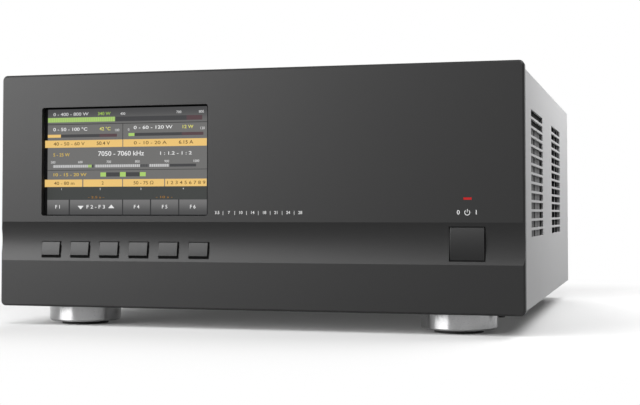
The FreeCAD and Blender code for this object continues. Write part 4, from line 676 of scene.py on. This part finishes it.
# what stands on the display: glow, text, capital height, across and down of its middle, width
screenWords = [
    ("glowGrey", "0 - 400 - 800 W", 2.5, 20.3, 4.2, 31.0), ("glowGreen", "340 W", 2.5, 49.4, 4.2, 11.0),
    ("glowGrey", "400", 2.0, 65.7, 4.6, None), ("glowGrey", "700", 2.0, 113.5, 4.2, None),
    ("glowGrey", "800", 2.0, 132.4, 4.2, None),
    ("glowWhite", "0 - 50 - 100 °C", 2.6, 19.9, 16.4, 30.0), ("glowYellow", "42 °C", 2.6, 50.4, 16.4, 9.5),
    ("glowGrey", "100", 2.0, 60.7, 17.6, None), ("glowGrey", "0", 2.0, 70.8, 17.4, None),
    ("glowWhite", "0 - 60 - 120 W", 2.6, 91.6, 15.9, 33.0), ("glowYellow", "12 W", 2.6, 120.8, 15.9, 9.0),
    ("glowGrey", "120", 2.0, 133.2, 17.2, None),
    ("glowBrown", "40 - 50 - 60 V", 2.6, 18.9, 28.1, 27.5), ("glowDark", "50.4 V", 2.7, 48.8, 28.0, 11.5),
    ("glowBrown", "0 - 10 - 20 A", 2.6, 89.3, 28.1, 28.0), ("glowDark", "6.15 A", 2.7, 119.5, 28.0, 12.0),
    ("glowAmber", "5 - 25 W", 2.6, 12.2, 36.9, 14.5), ("glowWhite", "7050 - 7060 kHz", 3.7, 64.2, 36.4, 39.5),
    ("glowWhite", "1 : 1.2 - 1 : 2", 2.6, 110.7, 36.6, 26.5),
    ("glowGrey", "500", 1.9, 4.9, 42.9, None), ("glowGrey", "600", 1.9, 29.0, 42.9, None),
    ("glowGrey", "700", 1.9, 53.8, 42.9, None), ("glowGrey", "800", 1.9, 78.5, 42.9, None),
    ("glowGrey", "900", 1.9, 103.4, 42.9, None), ("glowGrey", "1000", 1.9, 128.1, 42.9, None),
    ("glowAmber", "10 - 15 - 20 W", 2.5, 19.4, 53.0, 29.0),
    ("glowBrown", "40 - 80 m", 2.6, 15.0, 59.9, 18.0), ("glowBrown", "2", 2.6, 48.6, 59.9, None),
    ("glowBrown", "50 - 75 Ω", 2.6, 83.8, 59.9, 17.0),
    ("glowBrown", "1 2 3 4 5 6 7 8 9", 2.6, 119.5, 59.9, 32.0),
    ("glowGrey", "1", 1.5, 12.6, 64.6, None), ("glowGrey", "2", 1.5, 46.5, 64.6, None),
    ("glowGrey", "3", 1.5, 81.6, 64.6, None), ("glowGrey", "4", 1.5, 117.5, 64.6, None),
    ("glowOrange", "- 2.5 s -", 1.7, 43.0, 71.2, 14.0), ("glowOrange", "- 10 s -", 1.7, 101.4, 71.2, 14.0),
    ("glowWhite", "F 1", 2.8, 9.4, 78.9, None), ("glowWhite", "F 2 - F 3", 2.8, 42.7, 78.9, 16.0),
    ("glowWhite", "F 4", 2.8, 77.9, 78.9, None), ("glowWhite", "F 5", 2.8, 101.8, 78.9, None),
    ("glowWhite", "F 6", 2.8, 125.4, 78.9, None),
]
wordLook = dict(proud=0.06, thick=0.08, arrows=((29.5, True), (56.2, False)),
                arrowDown=78.9, arrowHalf=2.6, arrowRise=3.3)


def onScreen(across, down):
    return screenLook["left"] + across, screenLook["top"] - down


def makeScreenWords():
    look = wordLook
    face = screenLook["face"] - look["proud"]
    groups = {}
    for glow, text, tall, across, down, width in screenWords:
        x, z = onScreen(across, down)
        word = wording(text, tall, x, z, face, look["thick"], width)
        groups.setdefault(glow, []).append(word)
    for across, turned in look["arrows"]:
        x, z = onScreen(across, look["arrowDown"])
        arrow = triangle(x, z, face, look["arrowHalf"], look["arrowRise"], look["thick"])
        if turned:
            arrow.scale.z = -1
            arrow.location.z = 2 * z * mm
            settle(arrow)
            outwards(arrow)
        groups["glowWhite"].append(arrow)
    for glow, items in groups.items():
        keep(joined(items), "screenWords" + glow[4:], glow)


makeScreenWords()
print("display words made")

# the panel's printed marks: a row of plain numbers, and a stand-by symbol between 0 and 1
panelMarks = dict(numbers=("3.5", "|", "7", "|", "10", "|", "14", "|", "18", "|", "21", "|", "24", "|", "28"),
                  left=-25.2, right=41.6, z=91.0, tall=2.3, face=-234.0, thick=0.05,
                  symbolX=168.95, symbolZ=91.15, radius=1.9, line=0.5, opening=34, flat=0.12,
                  stemTall=1.25, stemRise=0.62, gap=6.6, digits=3.2)


def makeNumberRow():
    look = panelMarks
    step = (look["right"] - look["left"]) / (len(look["numbers"]) - 1)
    marks = [wording(text, look["tall"], look["left"] + step * index, look["z"], look["face"], look["thick"])
             for index, text in enumerate(look["numbers"])]
    keep(joined(marks), "numberRow", "panelInk")


def makeStandbySymbol():
    look = panelMarks
    x, z, face, thick, radius = (look[key] for key in ("symbolX", "symbolZ", "face", "thick", "radius"))
    clearSelection()
    bpy.ops.mesh.primitive_torus_add(major_segments=48, minor_segments=8, major_radius=radius * mm,
                                     minor_radius=look["line"] / 2 * mm)
    ring = bpy.context.object
    bpy.ops.object.mode_set(mode="EDIT")
    bpy.ops.mesh.select_all(action="DESELECT")
    bpy.ops.object.mode_set(mode="OBJECT")
    for corner in ring.data.vertices:
        angle = math.degrees(math.atan2(corner.co.y, corner.co.x))
        corner.select = abs(angle - 90) < look["opening"]
    bpy.ops.object.mode_set(mode="EDIT")
    bpy.ops.mesh.delete(type="VERT")
    bpy.ops.mesh.select_all(action="SELECT")
    bpy.ops.mesh.fill_holes(sides=12)
    bpy.ops.object.mode_set(mode="OBJECT")
    ring.rotation_euler.x = math.pi / 2
    ring.scale.z = look["flat"]
    ring.location = (x * mm, face * mm, z * mm)
    settle(ring)
    stemTall, stemZ = radius * look["stemTall"], z + radius * look["stemRise"]
    stem = wording("l", stemTall, x, stemZ, face, thick, look["line"])
    zero = wording("0", look["digits"], x - look["gap"], z, face, thick)
    one = wording("1", look["digits"], x + look["gap"], z, face, thick)
    keep(joined([ring, stem, zero, one]), "standbyMarks", "panelInk")


makeNumberRow()
makeStandbySymbol()
print("panel marks made")

# painted shadow: black strips below, beside and above each button, bent to the channel's hollow, standing in
# for the gap round each button and its shadow
buttonShadowLook = dict(first=-167.0, pitch=25.17, count=6, half=7.9, low=57.0, high=67.8,
                under=2.0, beside=1.05, above=0.45, clear=0.05, thick=0.35, proud=0.04,
                channel=(-281.1, 68.25), radius=49.6, steps=8)


def hollowStrip(left, right, low, high):
    look = buttonShadowLook
    middleY, middleZ = (value * mm for value in look["channel"])
    startAngle, endAngle = (math.asin((z - look["channel"][1]) / look["radius"]) for z in (low, high))
    wallY = middleY + (look["radius"] - look["proud"] + look["thick"] / 2) * mm
    clearSelection()
    bpy.ops.mesh.primitive_plane_add(size=1, location=((left + right) / 2 * mm, wallY, middleZ))
    item = bpy.context.object
    item.scale = ((right - left) * mm, look["thick"] * mm, 1)
    settle(item)
    bpy.ops.object.mode_set(mode="EDIT")
    bpy.ops.mesh.select_all(action="SELECT")
    bpy.ops.transform.rotate(value=-startAngle, orient_axis="X", center_override=(0, middleY, middleZ))
    bpy.ops.mesh.spin(steps=look["steps"], angle=startAngle - endAngle, axis=(1, 0, 0),
                      center=(0, middleY, middleZ))
    bpy.ops.object.mode_set(mode="OBJECT")
    return outwards(item)


def makeButtonShadows():
    look = buttonShadowLook
    low, high, clear = look["low"], look["high"], look["clear"]
    strips = []
    for index in range(look["count"]):
        middle = look["first"] + look["pitch"] * index
        left, right = middle - look["half"], middle + look["half"]
        end = right + look["beside"]
        strips.append(hollowStrip(left, end, low - look["under"], low - clear))
        strips.append(hollowStrip(right + clear, end, low - clear, high))
        strips.append(hollowStrip(left, end, high + clear, high + look["above"]))
    keep(joined(strips), "buttonShadows", "paintedShadeBlack")


makeButtonShadows()
print("button seals made")

# behind the side slots: black strips as painted shade for the dark inside of the case, grey panels darkened
# partly by painted shade, and upright stays, held by rails on the cover's inner face
ventLook = dict(outer=208.6, thick=0.3, seat=209.0, low=70.0, middle=158.4, high=174.0, rail=3.5,
                edge=0.1, railEdge=0.2, frontBlock=(-156.5, -56.5), rearBlock=(56.0, 107.0),
                strips=((-143.8, -134.2), (-92.0, -56.5)),
                panels=((-156.5, -144.0), (-134.0, -112.5), (-110.9, -92.2)),
                stays=((63.5, 67.0), (96.0, 99.5)))


def ventRails(start, end):
    look = ventLook
    inner = look["outer"] - look["thick"]
    return [bar((inner, start, low), (look["seat"], end, low + look["rail"]), look["railEdge"])
            for low in (look["low"] - look["rail"], look["high"])]


def ventBars(spans, low, high):
    outer = ventLook["outer"]
    return [bar((outer - ventLook["thick"], start, low), (outer, end, high), ventLook["edge"])
            for start, end in spans]


def makeVentShades():
    look = ventLook
    low, middle, high = look["low"], look["middle"], look["high"]
    # the black strips and their rails are painted shade
    lining = ventBars(look["strips"], low, middle) + ventBars([look["frontBlock"]], middle, high)
    panels = ventBars(look["panels"], low, middle)
    stays = ventBars(look["stays"], low, high)
    for pieces, name, finishName, slot in (
        (lining + ventRails(*look["frontBlock"]), "ventShadeStrips", "ventShadeBlack", "black_plastic"),
        (panels, "ventPanels", "greyPanelPaintedShade", "plated_steel"),
        (stays + ventRails(*look["rearBlock"]), "ventStays", "stayPaint", "plated_steel"),
    ):
        right = joined(pieces)
        left = copyOf(right)
        left.scale.x = -1
        settle(left)
        keep(joined([right, outwards(left)]), name, finishName)


makeVentShades()
print("vent lining made")

# cross recesses in the screw heads, drawn as flat black crosses as painted shade: on the fans and the rear
# panel, and below along the cover's flanges
crossLook = dict(reach=1.5, width=0.5, depth=0.3, proud=0.04, edge=0.02,
                 fans=(-78.75, -7.2, 7.2, 78.75), fanLevels=(38.85, 110.3), fanFace=219.8,
                 rear=(-167.0, -137.0, 137.0, 167.0), rearLevel=30.6, rearFace=218.0,
                 sides=(-204.0, 204.0), rows=(-196.0, -68.7, 58.7, 186.0), underFace=17.1)


def makeScrewCrossShades():
    look = crossLook
    reach, half, low, high = look["reach"], look["width"] / 2, -look["depth"], look["proud"]
    cross = joined([bar((-reach, low, -half), (reach, high, half), look["edge"]),
                    bar((-half, low, -reach), (half, high, reach), look["edge"])])
    under = copyOf(cross, turn=(-math.pi / 2, 0, 0))
    spots = [(x, look["fanFace"], z) for x in look["fans"] for z in look["fanLevels"]]
    spots += [(x, look["rearFace"], look["rearLevel"]) for x in look["rear"]]
    below = [(x, y, look["underFace"]) for x in look["sides"] for y in look["rows"]]
    crosses = joined([copies(cross, spots), copies(under, below)])
    # painted shade: the crosses are black in place of shaded recesses
    keep(crosses, "screwCrossShades", "paintedShadeBlack")


makeScrewCrossShades()
print("screw crosses made")

# coaxial sockets: a thread round each barrel, and a white insulator in its mouth
socketLook = dict(places=(-122.0, -178.0), level=154.6, barrel=7.9, ridge=0.42, pitch=1.25, turns=8,
                  steps=24, start=220.6, bore=6.15, pin=2.65, seat=224.05, disc=1.4, edge=0.2)


def makeSocketThreads():
    look = socketLook
    clearSelection()
    bpy.ops.mesh.primitive_circle_add(vertices=3, radius=look["ridge"] * mm, fill_type="NOTHING",
                                      location=(look["barrel"] * mm, 0, 0),
                                      rotation=(math.pi / 2, math.pi / 2, 0))
    thread = bpy.context.object
    settle(thread)
    shaped(thread, "thread", "SCREW", axis="Z", angle=2 * math.pi, screw_offset=look["pitch"] * mm,
           iterations=look["turns"], steps=look["steps"], render_steps=look["steps"])
    bpy.ops.object.mode_set(mode="EDIT")
    bpy.ops.mesh.select_all(action="SELECT")
    bpy.ops.mesh.fill_holes(sides=3)
    bpy.ops.object.mode_set(mode="OBJECT")
    thread.rotation_euler.x = -math.pi / 2
    settle(thread)
    outwards(thread)
    threads = copies(thread, [(x, look["start"], look["level"]) for x in look["places"]])
    keep(threads, "socketThreads", "nickel")
    disc = ringPiece(look["pin"], look["bore"], look["seat"], look["seat"] + look["disc"], look["edge"])
    discs = copies(disc, [(x, 0, look["level"]) for x in look["places"]])
    keep(discs, "socketInsulators", "insulator")


makeSocketThreads()
print("socket threads made")

# port inserts: a dark block with two rows of gilt pins, and a nut at each side
# a port is its middle across and up, half its width, and the pins in its longer row
portLook = dict(ports=((-150.0, 114.6, 11.2, 5), (-150.0, 92.6, 15.3, 8)), face=222.0, tall=3.0,
                sunk=0.2, proud=0.3, edge=0.12, pinPitch=2.76, rowGap=1.42, nutGap=2.6, flange=217.0,
                pinSteps=((0.5, -0.2), (0.5, 0.3), (0.3, 0.5)),
                nutSteps=((1.615, 0), (1.9, 0.2), (1.9, 2.0), (1.615, 2.2), (0.9, 2.2), (0.9, 1.0)))


def makePortInserts():
    look = portLook
    pinFace = look["face"] + look["proud"]
    pin = turnedPiece(look["pinSteps"], 12)
    nut = turnedPiece(look["nutSteps"], 6)
    inserts, pinSpots, nutSpots = [], [], []
    for x, z, half, count in look["ports"]:
        inserts.append(bar((x - half, look["face"] - look["sunk"], z - look["tall"]),
                           (x + half, pinFace, z + look["tall"]), look["edge"]))
        for row, across in ((1, count), (-1, count - 1)):
            for index in range(across):
                pinX = x + (index - (across - 1) / 2) * look["pinPitch"]
                pinSpots.append((pinX, pinFace, z + row * look["rowGap"]))
        for side in (-1, 1):
            nutSpots.append((x + side * (half + look["nutGap"]), look["flange"], z))
    keep(joined(inserts), "portInserts", "blackPlastic")
    keep(copies(pin, pinSpots), "portPins", "gilt")
    keep(copies(nut, nutSpots), "portNuts", "nickel")


makePortInserts()
print("port inserts made")

# coloured washers round the three small jacks
jackLook = dict(places=(-170.0, -152.0, -134.0), colours=("redWasher", "insulator", "blackPlastic"),
                level=56.6, inner=4.25, outer=6.2, start=217.55, end=218.5, edge=0.2)


def makeJackWashers():
    look = jackLook
    for x, colour in zip(look["places"], look["colours"]):
        washer = ringPiece(look["inner"], look["outer"], look["start"], look["end"], look["edge"])
        name = "jackWasher" + colour[0].upper() + colour[1:]
        keep(copies(washer, [(x, 0, look["level"])]), name, colour)


makeJackWashers()
print("jack washers made")

# plain numbers by the rear connectors: the words, and their middle across and up
rearMarks = dict(face=216.0, tall=3.4, thick=0.05, words=(
    ("1", -122.0, 172.0), ("2", -178.0, 172.0), ("3", -150.0, 125.0), ("4", -150.0, 102.8),
    ("5", -195.6, 114.6), ("6", -170.0, 69.6), ("7", -152.0, 69.6), ("8", -134.0, 69.6),
    ("9", -108.0, 55.5), ("F 1", 134.0, 126.5), ("F 2", 170.0, 126.5), ("10", 152.0, 84.5)))


def makeRearMarks():
    marks = []
    for text, x, z in rearMarks["words"]:
        mark = wording(text, rearMarks["tall"], 0, z, 0, rearMarks["thick"])
        mark.rotation_euler.z = math.pi      # read from behind
        mark.location = (x * mm, rearMarks["face"] * mm, 0)
        settle(mark)
        marks.append(mark)
    keep(joined(marks), "rearNumbers", "panelInk")


makeRearMarks()
print("rear marks made")

# filter coils: turns of wire round each ring core, open at the bottom
coilLook = dict(count=6, x=-173.0, first=12.0, pitch=29.0, level=45.2, core=9.0, section=4.3, wire=0.45,
                turns=22, step=14.0)


def makeCoilTurns():
    look = coilLook
    clearSelection()
    bpy.ops.mesh.primitive_torus_add(major_segments=16, minor_segments=6, major_radius=look["section"] * mm,
                                     minor_radius=look["wire"] * mm, location=(0, 0, look["core"] * mm),
                                     rotation=(math.pi / 2, 0, 0))
    loop = bpy.context.object
    settle(loop)
    middle = (look["turns"] - 1) / 2
    angles = [math.radians((index - middle) * look["step"]) for index in range(look["turns"])]
    coil = joined([copyOf(loop, turn=(angle, 0, 0)) for angle in angles] + [loop])
    rows = [look["first"] + look["pitch"] * index for index in range(look["count"])]
    coils = copies(coil, [(look["x"], y, look["level"]) for y in rows])
    keep(coils, "coilTurns", "coilWire")


makeCoilTurns()
print("coil turns made")

# supply capacitors: a bare metal top in each sleeve, with a black cross on it as painted shade for a pressed
# cross
capLook = dict(places=(88.2, 122.2, 156.2), y=-94.2, top=81.4, line=0.9, reach=8.5, low=0.4, high=0.56,
               edge=0.03, steps=((12.672, 0), (13.2, 0.15), (13.2, 0.35), (12.672, 0.5)))


def makeCapTops():
    look = capLook
    spots = [(x, look["y"], look["top"]) for x in look["places"]]
    lid = turnedPiece(look["steps"], 40)
    lid.rotation_euler.x = math.pi / 2
    settle(lid)
    keep(copies(lid, spots), "capTops", "zincSteel")
    reach, half, low, high = look["reach"], look["line"] / 2, look["low"], look["high"]
    cross = joined([bar((-reach, -half, low), (reach, half, high), look["edge"]),
                    bar((-half, -reach, low), (half, reach, high), look["edge"])])
    # painted shade: a black cross in place of the shaded groove of the pressed cross
    keep(copies(cross, spots), "capCrossShades", "blackOxide")


makeCapTops()
print("capacitor tops made")

# a dark stud under the front right corner, seen below the panel
studLook = dict(x=189.6, y=-200.0, top=20.6,
                steps=((1.6, 0.0), (1.6, 5.2), (2.8, 5.6), (2.8, 7.4), (2.1, 8.2)))


def makeCornerStud():
    stud = turnedPiece(studLook["steps"], 28)
    stud.rotation_euler.x = -math.pi / 2
    stud.location = (studLook["x"] * mm, studLook["y"] * mm, studLook["top"] * mm)
    keep(stud, "cornerStud", "rubber")


makeCornerStud()
print("corner stud made")

# studio: a floor that turns white away from what stands on it, with a faint painted glow near it that lifts
# its shadow, a white world and soft lamps
studioLook = dict(
    floorReach=12.0, floorShade=0.70, floorBounce=0.1, standing=(0.211, 0.234),
    nearEdge=0.02, farEdge=0.30, nearPaintedLight=0.05, worldLight=0.04,
    lamps=dict(
        leftBox=dict(place=(-1.6, -1.8, 0.9), aim=(-0.05, -0.2, 0.1), size=(2.0, 1.6), power=107),
        frontBox=dict(place=(0.1, -1.3, 1.3), aim=(0.0, -0.25, 0.1), size=(1.0, 0.5), power=15),
        rightBox=dict(place=(1.0, 0.3, 1.2), aim=(0.2, 0.05, 0.15), size=(0.6, 0.6), power=5.5),
        sideBox=dict(place=(0.42, 0.22, 0.46), aim=(0.2, 0.1, 0.14), size=(0.3, 0.3), power=1.9),
        cornerBox=dict(place=(0.38, -0.12, 0.42), aim=(0.21, -0.14, 0.15), size=(0.2, 0.2), power=0.45),
        rearBox=dict(place=(-0.7, 2.4, 1.0), aim=(0.0, 0.2, 0.1), size=(1.2, 0.9), power=45),
    ),
)


def floorFinish():
    finish = Finish("studioFloor")
    x, y = finish.axes()[:2]
    halfWidth, halfDepth = studioLook["standing"]
    beside = x.maths("MAXIMUM", x.size() - halfWidth, 0.0)
    before = x.maths("MAXIMUM", y.size() - halfDepth, 0.0)
    reach = finish.add("Math", {"operation": "SQRT"}, {0: beside * beside + before * before})
    seen = finish.looking() > 0.5
    # painted light: a faint white glow everywhere on the floor, which lightens the shadow round and under the
    # case
    glow = studioLook["nearPaintedLight"]
    far = finish.smooth(reach, studioLook["nearEdge"], studioLook["farEdge"]) * (1 - glow) + glow
    shade = finish.mix(seen, (studioLook["floorBounce"],) * 3, (studioLook["floorShade"],) * 3)
    paper = finish.add("BsdfDiffuse", {}, {"Color": shade})
    white = finish.add("Emission", {}, {"Color": (1, 1, 1, 1), "Strength": 1.0})
    both = finish.add("MixShader", {}, {0: far * seen, 1: paper, 2: white})
    finish.add("OutputMaterial", {}, {"Surface": both})
    return finish.material


def makeFloor():
    clearSelection()
    bpy.ops.mesh.primitive_plane_add(size=2 * studioLook["floorReach"])
    floor = bpy.context.object
    floor.name = "studioFloor"
    floor.data.materials.append(floorFinish())


def makeWorld():
    world = bpy.data.worlds.new("studio")
    bpy.context.scene.world = world
    air = Finish("studio", world)
    strength = air.add("Mix", {"data_type": "FLOAT"},      # white to look at, dimmer as a light
                       {0: air.looking(), 2: studioLook["worldLight"], 3: 1.0})
    sky = air.add("Background", {}, {"Color": (1, 1, 1, 1), "Strength": strength})
    air.add("OutputWorld", {}, {"Surface": sky})


def makeLamps():
    for name, lamp in studioLook["lamps"].items():
        clearSelection()
        bpy.ops.object.light_add(type="AREA", location=lamp["place"])
        item = bpy.context.object
        item.name = name
        item.data.shape = "RECTANGLE"
        item.data.size, item.data.size_y = lamp["size"]
        item.data.energy = lamp["power"]
        aim = Vector(lamp["aim"]) - Vector(lamp["place"])
        item.rotation_euler = aim.to_track_quat("-Z", "Y").to_euler()


makeFloor()
makeWorld()
makeLamps()

# camera: low and a little to the right, in metres and radians
cameraLook = dict(place=(0.30382, -1.14626, 0.09099), turn=0.26404, rise=0.03661,
                  lens=70.26, sensor=36, shift=-0.0555, reach=60)


def makeCamera():
    clearSelection()
    bpy.ops.object.camera_add(location=cameraLook["place"],
                              rotation=(math.pi / 2 + cameraLook["rise"], 0, cameraLook["turn"]))
    camera = bpy.context.object
    camera.data.sensor_width = cameraLook["sensor"]
    camera.data.lens = cameraLook["lens"]
    camera.data.shift_y = cameraLook["shift"]
    camera.data.clip_end = cameraLook["reach"]
    bpy.context.scene.camera = camera


makeCamera()
bpy.context.scene.view_settings.view_transform = "Standard"
print("studio made")
